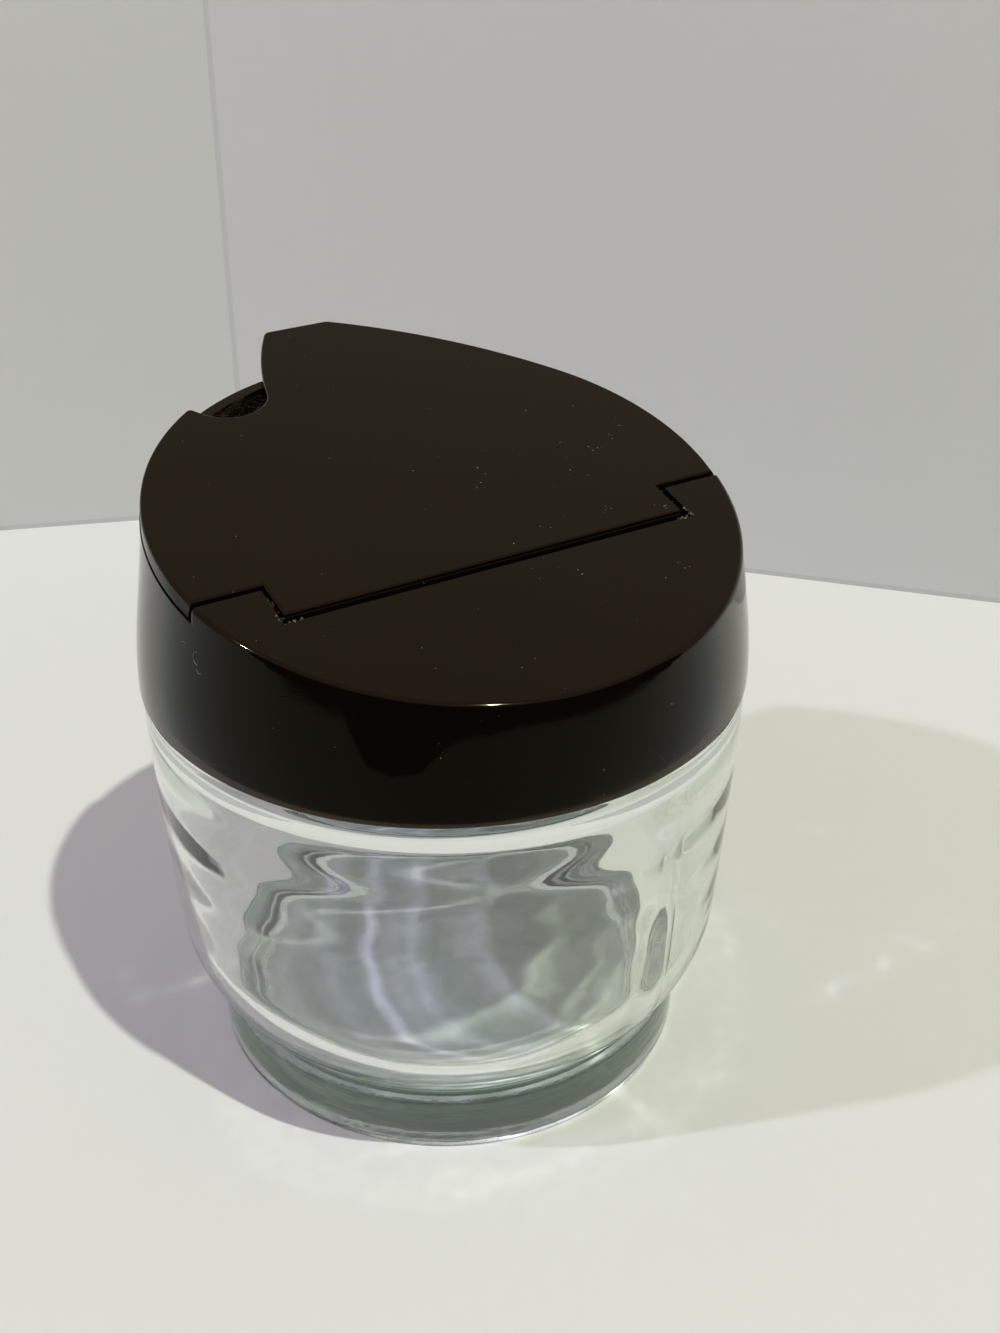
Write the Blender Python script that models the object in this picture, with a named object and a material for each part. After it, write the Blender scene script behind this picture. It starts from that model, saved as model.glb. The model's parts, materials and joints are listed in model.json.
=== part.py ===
"""Condiment jar: a pressed glass jar, its screw cap with a slanted top, and a hinged pouring flap.

All sizes are in metres. The jar stands on z = 0 with its axis on Z, the beak points to -Y,
and the hinge line runs along X behind the axis.
"""
from math import acos, asin, atan, atan2, cos, pi, radians, sin, sqrt, tan

import bmesh
import bpy
from mathutils import Matrix, Vector

# Facets of the round forms
TURN_FACETS = 60
RIM_FACETS = 20
WALL_STEPS = 3
SKIRT_STEPS = 6
INNER_SHOULDER_STEPS = 4
GLASS_CORNER_FACETS = 5
GLASS_EDGE_FACETS = 2
EDGE_FACETS = 3
CORNER_FACETS = 4
NOTCH_FACETS = 12
BEAK_FACETS = 8
PIN_FACETS = 16
HOLE_FACETS = 20
BARREL_FACETS = 22
FIT_ROUNDS = 6
SHARP_ANGLE = radians(35.0)

# Gaps
SEAT_GAP = 0.0003
CUT_OVERRUN = 0.004
WELD_OVERLAP = 0.0004

# Glass jar
JAR_RADIUS = 0.03975
WALL_TAPER = 0.00165
WALL_FULLNESS_SHARE = 0.4
FOOT_INSET = 0.0050
FOOT_HEIGHT = 0.0085
FOOT_LOWER_ROUND = 0.0012
FOOT_UPPER_ROUND = 0.0009
FOOT_GROOVE_HEIGHT = 0.0019
CORNER_RADIUS = 0.0185
CORNER_HEIGHT = 0.0220
SHOULDER_HEIGHT = 0.0575
SHOULDER_ROUND = 0.0030
GLASS_WALL = 0.0030
INNER_SHOULDER_HEIGHT = 0.0070
SHOULDER_WIDTH = 0.00515
NECK_HEIGHT = 0.0124
NECK_WALL = 0.0030
LIP_ROUND = 0.0011

# Screw thread, the same form on the neck and in the cap
THREAD_PITCH = 0.0050
THREAD_DEPTH = 0.0014
THREAD_ROOT_WIDTH = 0.0022
THREAD_CREST_WIDTH = 0.0010
THREAD_LOW_EDGE = 0.0034
THREAD_GAP = 0.0004
NECK_THREAD_START = radians(20.0)
NECK_THREAD_TURNS = 1.15
CAP_THREAD_START = radians(152.0)
CAP_THREAD_TURNS = 1.1
THREAD_RUN_OUT = radians(20.0)
THREAD_END_SHARE = 0.05

# Sealing ring
SEAL_THICKNESS = 0.0008
SEAL_INSET = 0.0003

# Screw cap
RIM_CLEARANCE = 0.00055
CAP_RIM_OVERHANG = 0.00025
CAP_TAPER = 0.0026
CAP_RIM_ROUND = 0.0003
CAP_EDGE_ROUND = 0.0006
TAPER_TOP_HEIGHT = 0.0260
RIM_WALL = 0.0020
RIM_RECESS_HEIGHT = 0.0017
BORE_CLEARANCE = 0.0006
UPPER_WALL = 0.0015
LEDGE_WIDTH = 0.0039
LEDGE_THICKNESS = 0.0012
TOP_SLOPE = radians(10.5)
REAR_COVER = 0.0019
PLATE_THICKNESS = 0.0019

# Hinged flap
FLAP_SIDE_INSET = 0.0001
FLAP_THICKNESS = 0.0017
FLAP_EDGE_ROUND = 0.0004
BEAK_OVERHANG = 0.0076
BEAK_LONG_SIDE_X = 0.0050
BEAK_NOTCH_SIDE_X = 0.0046
BEAK_SIDE_RADIUS = 0.0850
BEAK_SIDE_TANGENT = radians(36.0)
BEAK_LONG_ROUND = 0.0020
BEAK_NOTCH_ROUND = 0.0012
NOTCH_RADIUS = 0.0056
NOTCH_ANGLE = radians(26.6)
NOTCH_CENTRE_INSET = 0.0016
NOTCH_LEAN = radians(13.0)
NOTCH_CORNER_ROUND = 0.0008
RIB_THICKNESS = 0.0010
RIB_HEIGHT = 0.0014
RIB_CLEARANCE = 0.0005

# Hinge
HINGE_LINE = 0.0107
HINGE_DEPTH = 0.0018
BARREL_RADIUS = 0.0030
FLAP_REAR_REACH = 0.0032
EAR_GAP = 0.0009
TAIL_INSET = 0.0097
TAIL_SIDE_GAP = 0.0006
GROOVE_WIDTH = 0.0015
PIN_RADIUS = 0.0009
PIN_LENGTH = 0.0026
EAR_BLOCK_LENGTH = 0.0056
EAR_BLOCK_SETBACK = 0.0002
ROOM_LEAST_HEIGHT = 0.00054

# Radii, heights and places that follow from the sizes above
WALL_LOW_RADIUS = JAR_RADIUS - WALL_TAPER
FOOT_RADIUS = WALL_LOW_RADIUS - FOOT_INSET
NECK_RADIUS = JAR_RADIUS - SHOULDER_WIDTH
CAP_RIM_RADIUS = JAR_RADIUS + CAP_RIM_OVERHANG
CAP_TOP_RADIUS = CAP_RIM_RADIUS - CAP_TAPER
FLAP_RADIUS = CAP_TOP_RADIUS - FLAP_SIDE_INSET
BEAK_REACH = FLAP_RADIUS + BEAK_OVERHANG
TAIL_HALF_WIDTH = FLAP_RADIUS - TAIL_INSET
NECK_TOP = SHOULDER_HEIGHT + NECK_HEIGHT
SEAL_BOTTOM = NECK_TOP + SEAT_GAP
LEDGE_BOTTOM = SEAL_BOTTOM + SEAL_THICKNESS + SEAT_GAP
LEDGE_TOP = LEDGE_BOTTOM + LEDGE_THICKNESS
CAP_RIM_HEIGHT = SHOULDER_HEIGHT + RIM_CLEARANCE
TOP_MID_HEIGHT = LEDGE_BOTTOM + REAR_COVER + CAP_TOP_RADIUS * tan(TOP_SLOPE)
RIM_DEPTH = FLAP_THICKNESS + SEAT_GAP
ROOM_FALL = TOP_MID_HEIGHT - PLATE_THICKNESS - LEDGE_TOP - ROOM_LEAST_HEIGHT
ROOM_REAR = ROOM_FALL / tan(TOP_SLOPE)
CAP_BORE_RADIUS = NECK_RADIUS + THREAD_DEPTH + BORE_CLEARANCE
UPPER_BORE_RADIUS = CAP_TOP_RADIUS - UPPER_WALL
LEDGE_RADIUS = UPPER_BORE_RADIUS - LEDGE_WIDTH
NECK_THREAD_HEIGHT = SHOULDER_HEIGHT + THREAD_LOW_EDGE + THREAD_ROOT_WIDTH / 2
THREAD_ENGAGEMENT = NECK_RADIUS + 2 * THREAD_DEPTH - CAP_BORE_RADIUS
FLANK_RUN = (THREAD_ROOT_WIDTH - THREAD_CREST_WIDTH) / 2
THREAD_OFFSET = THREAD_CREST_WIDTH + FLANK_RUN * THREAD_ENGAGEMENT / THREAD_DEPTH + THREAD_GAP
FLAP_REAR = HINGE_LINE - FLAP_REAR_REACH
EAR_FRONT = FLAP_REAR + EAR_GAP
EAR_INNER = TAIL_HALF_WIDTH + TAIL_SIDE_GAP
TAIL_REAR = (HINGE_LINE + HINGE_DEPTH * sin(TOP_SLOPE)
             + sqrt(BARREL_RADIUS ** 2 - HINGE_DEPTH ** 2) * cos(TOP_SLOPE))
GROOVE_REAR = TAIL_REAR + GROOVE_WIDTH
NOTCH_DISTANCE = FLAP_RADIUS - NOTCH_CENTRE_INSET


def top_height(y, depth=0.0):
    """Height of the slanted top above the floor, or of a face that lies the given depth below it."""
    return TOP_MID_HEIGHT - y * tan(TOP_SLOPE) - depth


HINGE_HEIGHT = top_height(HINGE_LINE, HINGE_DEPTH / cos(TOP_SLOPE))


def clear_scene():
    """Remove whatever the scene holds."""
    for item in list(bpy.data.objects):
        bpy.data.objects.remove(item, do_unlink=True)


def make_material(name, colour, roughness, metallic=0.0, transmission=0.0):
    """A plain material with the piece's own colour and gloss."""
    material = bpy.data.materials.new(name)
    material.use_nodes = True
    shader = material.node_tree.nodes["Principled BSDF"]
    shader.inputs["Base Color"].default_value = (*colour, 1.0)
    shader.inputs["Roughness"].default_value = roughness
    shader.inputs["Metallic"].default_value = metallic
    shader.inputs["Transmission Weight"].default_value = transmission
    return material


def mesh_object(name, bm, material=None):
    """Turn a bmesh into an object with its faces pointing out and its round sides shaded smooth."""
    bmesh.ops.recalc_face_normals(bm, faces=bm.faces)
    mesh = bpy.data.meshes.new(name)
    bm.to_mesh(mesh)
    bm.free()
    mesh.shade_smooth()
    mesh.set_sharp_from_angle(angle=SHARP_ANGLE)
    item = bpy.data.objects.new(name, mesh)
    bpy.context.scene.collection.objects.link(item)
    if material is not None:
        mesh.materials.append(material)
    return item


def helper_object(name, bm):
    """A hidden body that a Boolean adds or takes away."""
    item = mesh_object(name, bm)
    item.hide_render = True
    item.display_type = 'WIRE'
    return item


def boolean(item, other, operation):
    """Add the other body to the piece, or cut it away."""
    step = item.modifiers.new(other.name, 'BOOLEAN')
    step.operation = operation
    step.solver = 'EXACT'
    step.object = other


def arc(centre, radius, start, end, facets):
    """Points along an arc, both ends included."""
    step = (end - start) / facets
    return [(centre[0] + radius * cos(start + step * i), centre[1] + radius * sin(start + step * i))
            for i in range(facets + 1)]


def skinned(rings, closed=False):
    """A body skinned over rings of points that all have the same count."""
    bm = bmesh.new()
    rows = [[bm.verts.new(point) for point in ring] for ring in rings]
    pairs = list(zip(rows, rows[1:]))
    if closed:
        pairs.append((rows[-1], rows[0]))
    else:
        bm.faces.new(reversed(rows[0]))
        bm.faces.new(rows[-1])
    for lower, upper in pairs:
        for i in range(len(lower)):
            bm.faces.new((lower[i - 1], lower[i], upper[i], upper[i - 1]))
    return bm


def turned(profile, closed=False):
    """Turn a profile of (radius, height) about the axis."""
    rings = []
    for radius, height in profile:
        circle = arc((0.0, 0.0), radius, 0, 2 * pi, TURN_FACETS)[:-1]
        rings.append([(x, y, height) for x, y in circle])
    return skinned(rings, closed)


def wall_radius(share):
    """Outer radius of the glass wall, from its lower corner (0) to its shoulder (1)."""
    rise = share * (1 + WALL_FULLNESS_SHARE) - share * share * WALL_FULLNESS_SHARE
    return WALL_LOW_RADIUS + (JAR_RADIUS - WALL_LOW_RADIUS) * rise


def glass_profile():
    """The jar's section: from the foot up the outside, over the lip and down the inside to the floor."""
    wall_top = SHOULDER_HEIGHT - SHOULDER_ROUND
    wall_length = wall_top - CORNER_HEIGHT
    lean = atan((JAR_RADIUS - WALL_LOW_RADIUS) * (1 + WALL_FULLNESS_SHARE) / wall_length)
    corner_centre = (WALL_LOW_RADIUS - CORNER_RADIUS * cos(lean), CORNER_HEIGHT + CORNER_RADIUS * sin(lean))
    corner_foot = FOOT_HEIGHT + FOOT_GROOVE_HEIGHT
    corner_start = -asin((corner_centre[1] - corner_foot) / CORNER_RADIUS)
    wall_shares = [i / WALL_STEPS for i in range(1, WALL_STEPS + 1)]

    outside = arc((FOOT_RADIUS - FOOT_LOWER_ROUND, FOOT_LOWER_ROUND), FOOT_LOWER_ROUND,
                  -pi / 2, 0, GLASS_EDGE_FACETS)
    outside += arc((FOOT_RADIUS - FOOT_UPPER_ROUND, FOOT_HEIGHT - FOOT_UPPER_ROUND), FOOT_UPPER_ROUND,
                   0, pi / 2, GLASS_EDGE_FACETS)
    outside += arc(corner_centre, CORNER_RADIUS, corner_start, -lean, GLASS_CORNER_FACETS)
    outside += [(wall_radius(share), CORNER_HEIGHT + wall_length * share) for share in wall_shares]
    outside += arc((JAR_RADIUS - SHOULDER_ROUND, wall_top), SHOULDER_ROUND, 0, pi / 2, EDGE_FACETS)[1:]
    outside.append((NECK_RADIUS, SHOULDER_HEIGHT))
    outside += arc((NECK_RADIUS - LIP_ROUND, NECK_TOP - LIP_ROUND), LIP_ROUND, 0, pi / 2, GLASS_EDGE_FACETS)

    mouth_radius = NECK_RADIUS - NECK_WALL
    inner_wall_top = SHOULDER_HEIGHT - INNER_SHOULDER_HEIGHT
    inner_top_share = (inner_wall_top - CORNER_HEIGHT) / wall_length
    inner_high_radius = wall_radius(inner_top_share) - GLASS_WALL
    inside = arc((mouth_radius + LIP_ROUND, NECK_TOP - LIP_ROUND), LIP_ROUND, pi / 2, pi, GLASS_EDGE_FACETS)
    for i in range(INNER_SHOULDER_STEPS + 1):
        share = i / INNER_SHOULDER_STEPS
        blend_share = (1 + cos(pi * share)) / 2
        height = SHOULDER_HEIGHT + GLASS_WALL - (INNER_SHOULDER_HEIGHT + GLASS_WALL) * share
        inside.append((inner_high_radius + (mouth_radius - inner_high_radius) * blend_share, height))
    for share in reversed(wall_shares[:-1]):
        if share < inner_top_share:
            inside.append((wall_radius(share) - GLASS_WALL, CORNER_HEIGHT + wall_length * share))
    inside += arc(corner_centre, CORNER_RADIUS - GLASS_WALL, -lean, -pi / 2, GLASS_CORNER_FACETS)
    return outside + inside


def thread_ridge(wall, outward, start, turns, height):
    """One helical ridge of trapezoid section on a round wall, with run-outs at both ends."""
    steps = round(TURN_FACETS * turns)
    sweep = 2 * pi * turns
    root = wall - outward * WELD_OVERLAP
    half_crest = THREAD_CREST_WIDTH / 2
    rings = []
    for i in range(steps + 1):
        angle = sweep * i / steps
        full_share = min(angle / THREAD_RUN_OUT, (sweep - angle) / THREAD_RUN_OUT, 1.0)
        depth = THREAD_DEPTH * max(full_share, THREAD_END_SHARE)
        crest = wall + outward * depth
        half_root = half_crest + FLANK_RUN * (depth + WELD_OVERLAP) / THREAD_DEPTH
        middle = height + THREAD_PITCH * angle / (2 * pi)
        section = ((root, -half_root), (crest, -half_crest), (crest, half_crest), (root, half_root))
        turn = start + angle
        rings.append([(r * cos(turn), r * sin(turn), middle + z) for r, z in section])
    return skinned(rings)


def make_glass_jar():
    """The jar with the thread on its neck."""
    glass = make_material("clear glass", (0.90, 0.94, 0.91), 0.02, transmission=1.0)
    jar = mesh_object("glass_jar", turned(glass_profile()), glass)
    ridge = thread_ridge(NECK_RADIUS, 1, NECK_THREAD_START, NECK_THREAD_TURNS, NECK_THREAD_HEIGHT)
    boolean(jar, helper_object("neck_thread", ridge), 'UNION')
    return jar


def make_sealing_ring():
    """The flat liner between the glass lip and the cap's ledge."""
    foam = make_material("seal foam", (0.80, 0.79, 0.75), 0.7)
    inner = NECK_RADIUS - NECK_WALL + SEAL_INSET
    outer = NECK_RADIUS - SEAL_INSET
    top = SEAL_BOTTOM + SEAL_THICKNESS
    profile = [(inner, SEAL_BOTTOM), (outer, SEAL_BOTTOM), (outer, top), (inner, top)]
    return mesh_object("sealing_ring", turned(profile, closed=True), foam)


def skirt_radius(height):
    """Outer radius of the cap's skirt at a height above the floor."""
    share = (height - CAP_RIM_HEIGHT) / TAPER_TOP_HEIGHT
    share = max(0.0, min(1.0, share))
    return CAP_RIM_RADIUS - (CAP_RIM_RADIUS - CAP_TOP_RADIUS) * share * share * (3 - 2 * share)


def slanted_ring(angles, depth, inset):
    """A ring inside the skirt's outer face by the inset, the given depth below the slanted top."""
    ring = []
    for angle in angles:
        radius = CAP_TOP_RADIUS
        for _ in range(FIT_ROUNDS):
            radius = skirt_radius(top_height(radius * sin(angle), depth))
        y = (radius - inset) * sin(angle)
        ring.append(((radius - inset) * cos(angle), y, top_height(y, depth)))
    return ring


def cap_outer_body():
    """The cap's outer form as one solid: tapered skirt and slanted top with a rounded edge."""
    angles = [2 * pi * i / TURN_FACETS for i in range(TURN_FACETS)]
    low = CAP_RIM_HEIGHT + CAP_RIM_ROUND
    bottom_radius = CAP_RIM_RADIUS - CAP_RIM_ROUND
    rings = [[(bottom_radius * cos(a), bottom_radius * sin(a), CAP_RIM_HEIGHT) for a in angles]]
    rings.append([(CAP_RIM_RADIUS * cos(a), CAP_RIM_RADIUS * sin(a), low) for a in angles])
    for step in range(1, SKIRT_STEPS):
        ring = []
        for angle in angles:
            top = top_height(CAP_TOP_RADIUS * sin(angle), CAP_EDGE_ROUND)
            height = low + (top - low) * step / SKIRT_STEPS
            radius = skirt_radius(height)
            ring.append((radius * cos(angle), radius * sin(angle), height))
        rings.append(ring)
    for step in range(EDGE_FACETS + 1):
        turn = pi / 2 * step / EDGE_FACETS
        depth = CAP_EDGE_ROUND * (1 - sin(turn))
        rings.append(slanted_ring(angles, depth, CAP_EDGE_ROUND * (1 - cos(turn))))
    return skinned(rings)


def prism(outline, bottom, top):
    """A body over a plan outline, between two faces given as heights that may depend on y."""
    return skinned([[(x, y, face(y)) for x, y in outline] for face in (bottom, top)])


def level(height):
    """A flat face at one height."""
    return lambda y: height


def slanted(depth):
    """A face that lies the given depth below the slanted top."""
    return lambda y: top_height(y, depth)


def upper_room():
    """The room over the ledge and under the top plate, which steps in round the two ear blocks."""
    radius = UPPER_BORE_RADIUS
    front = EAR_FRONT + EAR_BLOCK_SETBACK
    inner = EAR_INNER + EAR_BLOCK_SETBACK
    rear = EAR_FRONT + EAR_BLOCK_LENGTH
    right = arc((0.0, 0.0), radius, -pi / 2, asin(front / radius), RIM_FACETS)
    right += [(inner, front), (inner, rear)]
    right += arc((0.0, 0.0), radius, asin(rear / radius), asin(ROOM_REAR / radius), CORNER_FACETS)
    left = [(-x, y) for x, y in reversed(right[1:])]
    return prism(right + left, level(LEDGE_TOP), slanted(PLATE_THICKNESS))


def lower_room():
    """The room for the glass neck: rim recess, threaded bore and the hole through the ledge."""
    recess_radius = CAP_RIM_RADIUS - RIM_WALL
    recess_top = CAP_RIM_HEIGHT + RIM_RECESS_HEIGHT
    return turned([(recess_radius, CAP_RIM_HEIGHT - CUT_OVERRUN), (recess_radius, recess_top),
                   (CAP_BORE_RADIUS, recess_top), (CAP_BORE_RADIUS, LEDGE_BOTTOM),
                   (LEDGE_RADIUS, LEDGE_BOTTOM), (LEDGE_RADIUS, LEDGE_TOP + WELD_OVERLAP)])


def flap_bay():
    """What the flap takes out of the cap: the whole front of the top, and the slot for its tail."""
    side = CAP_RIM_RADIUS + CUT_OVERRUN
    outline = [(side, EAR_FRONT), (EAR_INNER, EAR_FRONT), (EAR_INNER, GROOVE_REAR),
               (-EAR_INNER, GROOVE_REAR), (-EAR_INNER, EAR_FRONT), (-side, EAR_FRONT),
               (-side, -side), (side, -side)]
    return prism(outline, slanted(RIM_DEPTH), slanted(-CUT_OVERRUN))


def cross_rod(radius, start, end, facets):
    """A round rod along the hinge line."""
    points = arc((HINGE_LINE, HINGE_HEIGHT), radius, 0, 2 * pi, facets)[:-1]
    return skinned([[(x, y, z) for y, z in points] for x in (start, end)])


def make_screw_cap():
    """The cap: skirt, fixed rear top, ears with their pin holes, ledge and thread in one moulding."""
    plastic = make_material("dark brown cap plastic", (0.026, 0.018, 0.012), 0.18)
    cap = mesh_object("screw_cap", cap_outer_body(), plastic)
    boolean(cap, helper_object("upper_room", upper_room()), 'DIFFERENCE')
    boolean(cap, helper_object("lower_room", lower_room()), 'DIFFERENCE')
    boolean(cap, helper_object("flap_bay", flap_bay()), 'DIFFERENCE')
    hole_end = EAR_INNER + PIN_LENGTH
    for side, name in ((-1, "left"), (1, "right")):
        hole_start = EAR_INNER - CUT_OVERRUN
        hole = cross_rod(PIN_RADIUS + SEAT_GAP, side * hole_start, side * hole_end, HOLE_FACETS)
        boolean(cap, helper_object(name + "_pin_hole", hole), 'DIFFERENCE')
    start_angle = CAP_THREAD_START - NECK_THREAD_START
    height = NECK_THREAD_HEIGHT - THREAD_OFFSET + THREAD_PITCH * start_angle / (2 * pi)
    ridge = thread_ridge(CAP_BORE_RADIUS, -1, CAP_THREAD_START, CAP_THREAD_TURNS, height)
    boolean(cap, helper_object("cap_thread", ridge), 'UNION')
    return cap


def round_corner(before, corner, after, radius):
    """Replace a corner of an outline with an arc that touches both its sides."""
    back = (Vector(before) - Vector(corner)).normalized()
    ahead = (Vector(after) - Vector(corner)).normalized()
    half = back.angle(ahead) / 2
    centre = Vector(corner) + (back + ahead).normalized() * (radius / sin(half))
    spoke = Vector(corner) + back * (radius / tan(half)) - centre
    turn = pi - 2 * half
    if back.x * ahead.y - back.y * ahead.x > 0:
        turn = -turn
    start = atan2(spoke.y, spoke.x)
    return arc(centre, radius, start, start + turn, CORNER_FACETS)


def tangent_arc(start, heading, end, facets):
    """Points of the arc that leaves the start along a heading and ends at a point."""
    chord = Vector(end) - Vector(start)
    turn = 2 * (atan2(chord.y, chord.x) - heading)
    radius = chord.length / (2 * sin(turn / 2))
    centre = (start[0] - radius * sin(heading), start[1] + radius * cos(heading))
    first = heading - pi / 2
    return arc(centre, radius, first, first + turn, facets)


def flap_outline():
    """The flap in plan as (x, distance ahead of the axis), starting at its right rear corner."""
    side_x = sqrt(FLAP_RADIUS ** 2 - FLAP_REAR ** 2)
    notch = (NOTCH_DISTANCE * sin(NOTCH_ANGLE), NOTCH_DISTANCE * cos(NOTCH_ANGLE))
    half_span = acos((FLAP_RADIUS ** 2 + NOTCH_DISTANCE ** 2 - NOTCH_RADIUS ** 2)
                     / (2 * FLAP_RADIUS * NOTCH_DISTANCE))
    rim_end = pi / 2 - NOTCH_ANGLE - half_span
    rim_corner = (FLAP_RADIUS * cos(rim_end), FLAP_RADIUS * sin(rim_end))
    rear_angle = atan2(-FLAP_REAR, side_x)

    right_rim = arc((0.0, 0.0), FLAP_RADIUS, rear_angle, rim_end, RIM_FACETS // 2)
    notch_start = atan2(rim_corner[1] - notch[1], rim_corner[0] - notch[0])
    notch_curve = arc(notch, NOTCH_RADIUS, notch_start, NOTCH_LEAN - pi, NOTCH_FACETS)
    notch_corner = round_corner(right_rim[-2], rim_corner, notch_curve[1], NOTCH_CORNER_ROUND)
    beak_tip = (BEAK_NOTCH_SIDE_X, BEAK_REACH)
    beak_notch_side = tangent_arc(notch_curve[-1], pi / 2 + NOTCH_LEAN, beak_tip, BEAK_FACETS)
    long_tip = (-BEAK_LONG_SIDE_X, BEAK_REACH)
    tip_corner = round_corner(beak_notch_side[-2], beak_tip, long_tip, BEAK_NOTCH_ROUND)

    side_start = pi - BEAK_SIDE_TANGENT
    offset = BEAK_SIDE_RADIUS - FLAP_RADIUS
    side_centre = (-offset * cos(side_start), -offset * sin(side_start))
    side_end = pi - acos((long_tip[0] - side_centre[0]) / -BEAK_SIDE_RADIUS)
    long_end = (long_tip[0], side_centre[1] + BEAK_SIDE_RADIUS * sin(side_end))
    beak_long_side = arc(side_centre, BEAK_SIDE_RADIUS, side_end, side_start, BEAK_FACETS)
    front_tip = (long_tip[0], long_end[1])
    long_corner = round_corner(beak_tip, front_tip, beak_long_side[1], BEAK_LONG_ROUND)
    left_rim = arc((0.0, 0.0), FLAP_RADIUS, side_start, pi - rear_angle, RIM_FACETS // 2)

    outline = right_rim[:-1] + notch_corner + notch_curve[1:-1] + beak_notch_side[:-1]
    outline += tip_corner + long_corner + beak_long_side[1:-1] + left_rim
    outline += [(-TAIL_HALF_WIDTH, -FLAP_REAR), (-TAIL_HALF_WIDTH, -TAIL_REAR),
                (TAIL_HALF_WIDTH, -TAIL_REAR), (TAIL_HALF_WIDTH, -FLAP_REAR)]
    return [(x, -ahead) for x, ahead in outline]


def inset_outline(outline, distance):
    """Move every side of a clockwise outline inwards by the distance, keeping its corners."""
    moved = []
    count = len(outline)
    for i, point in enumerate(outline):
        before = Vector(outline[i - 1])
        here = Vector(point)
        after = Vector(outline[(i + 1) % count])
        first = (here - before).normalized()
        second = (after - here).normalized()
        normal = Vector((first.y + second.y, -first.x - second.x)).normalized()
        stretch = normal.dot(Vector((first.y, -first.x)))
        moved.append(tuple(here + normal * (distance / stretch)))
    return moved


def flap_plate():
    """The flap's plate with its upper edge rounded."""
    outline = flap_outline()
    rings = [[(x, y, top_height(y, FLAP_THICKNESS)) for x, y in outline]]
    for step in range(EDGE_FACETS + 1):
        turn = pi / 2 * step / EDGE_FACETS
        moved = inset_outline(outline, FLAP_EDGE_ROUND * (1 - cos(turn)))
        depth = FLAP_EDGE_ROUND * (1 - sin(turn))
        rings.append([(x, y, top_height(y, depth)) for x, y in moved])
    return skinned(rings)


def hinge_barrel():
    """The rounded nose along the flap's tail, centred on the hinge line and flat under the top face."""
    half_turn = acos((HINGE_DEPTH - WELD_OVERLAP) / BARREL_RADIUS)
    upward = pi / 2 - TOP_SLOPE
    points = arc((HINGE_LINE, HINGE_HEIGHT), BARREL_RADIUS, upward - half_turn,
                 upward + half_turn - 2 * pi, BARREL_FACETS)
    return skinned([[(x, y, z) for y, z in points] for x in (-TAIL_HALF_WIDTH, TAIL_HALF_WIDTH)])


def locating_rib():
    """The low rib under the flap that drops inside the skirt and steps in round the notch."""
    rim = UPPER_BORE_RADIUS - RIB_CLEARANCE - RIB_THICKNESS / 2
    detour = NOTCH_RADIUS + RIB_CLEARANCE + RIB_THICKNESS
    notch = (NOTCH_DISTANCE * sin(NOTCH_ANGLE), NOTCH_DISTANCE * cos(NOTCH_ANGLE))
    half_span = acos((rim ** 2 + NOTCH_DISTANCE ** 2 - detour ** 2) / (2 * rim * NOTCH_DISTANCE))
    middle = pi / 2 - NOTCH_ANGLE
    rear = asin(-(FLAP_REAR - RIB_THICKNESS) / rim)
    first = (rim * cos(middle - half_span), rim * sin(middle - half_span))
    second = (rim * cos(middle + half_span), rim * sin(middle + half_span))
    start = atan2(first[1] - notch[1], first[0] - notch[0])
    end = atan2(second[1] - notch[1], second[0] - notch[0]) - 2 * pi
    path = arc((0.0, 0.0), rim, rear, middle - half_span, RIM_FACETS // 2)
    path += arc(notch, detour, start, end, NOTCH_FACETS)[1:]
    path += arc((0.0, 0.0), rim, middle + half_span, pi - rear, RIM_FACETS)[1:]
    sides = ([], [])
    for i, point in enumerate(path):
        before = Vector(path[max(i - 1, 0)])
        after = Vector(path[min(i + 1, len(path) - 1)])
        along = (after - before).normalized()
        across = Vector((-along.y, along.x)) * (RIB_THICKNESS / 2)
        sides[0].append(Vector(point) + across)
        sides[1].append(Vector(point) - across)
    outline = [(p.x, -p.y) for p in sides[0] + sides[1][::-1]]
    return prism(outline, slanted(FLAP_THICKNESS + RIB_HEIGHT), slanted(FLAP_THICKNESS - WELD_OVERLAP))


def make_hinged_flap(cap):
    """The flap with its barrel, pins and rib, and its origin on the hinge line."""
    plastic = make_material("dark brown flap plastic", (0.030, 0.021, 0.014), 0.24)
    flap = mesh_object("hinged_flap", flap_plate(), plastic)
    hinge = Vector((0.0, HINGE_LINE, HINGE_HEIGHT))
    flap.data.transform(Matrix.Translation(-hinge))
    flap.location = hinge
    flap.parent = cap
    boolean(flap, helper_object("hinge_barrel", hinge_barrel()), 'UNION')
    boolean(flap, helper_object("locating_rib", locating_rib()), 'UNION')
    for side, name in ((-1, "left"), (1, "right")):
        inner = side * (TAIL_HALF_WIDTH - CUT_OVERRUN)
        outer = side * (TAIL_HALF_WIDTH + TAIL_SIDE_GAP + PIN_LENGTH - SEAT_GAP)
        boolean(flap, helper_object(name + "_pin", cross_rod(PIN_RADIUS, inner, outer, PIN_FACETS)), 'UNION')
    return flap


def main():
    """Build the four pieces."""
    clear_scene()
    make_glass_jar()
    make_sealing_ring()
    cap = make_screw_cap()
    make_hinged_flap(cap)
    bpy.context.view_layer.update()


main()
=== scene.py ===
"""Looks of the condiment jar: its four pieces at full finish, small marks of moulding and use, and the studio.

Sizes are in metres. The jar stands on z = 0 with its axis on Z, the beak points to -Y,
and the hinge line runs along X behind the axis.
"""
import json
from math import acos, asin, atan, atan2, cos, exp, hypot, pi, radians, sin, sqrt, tan
from random import Random

import bmesh
import bpy
import numpy
from bpy.props import FloatProperty, FloatVectorProperty, IntProperty, PointerProperty
from mathutils import Matrix, Vector
from mathutils.bvhtree import BVHTree
from mathutils.interpolate import poly_3d_calc


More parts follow.
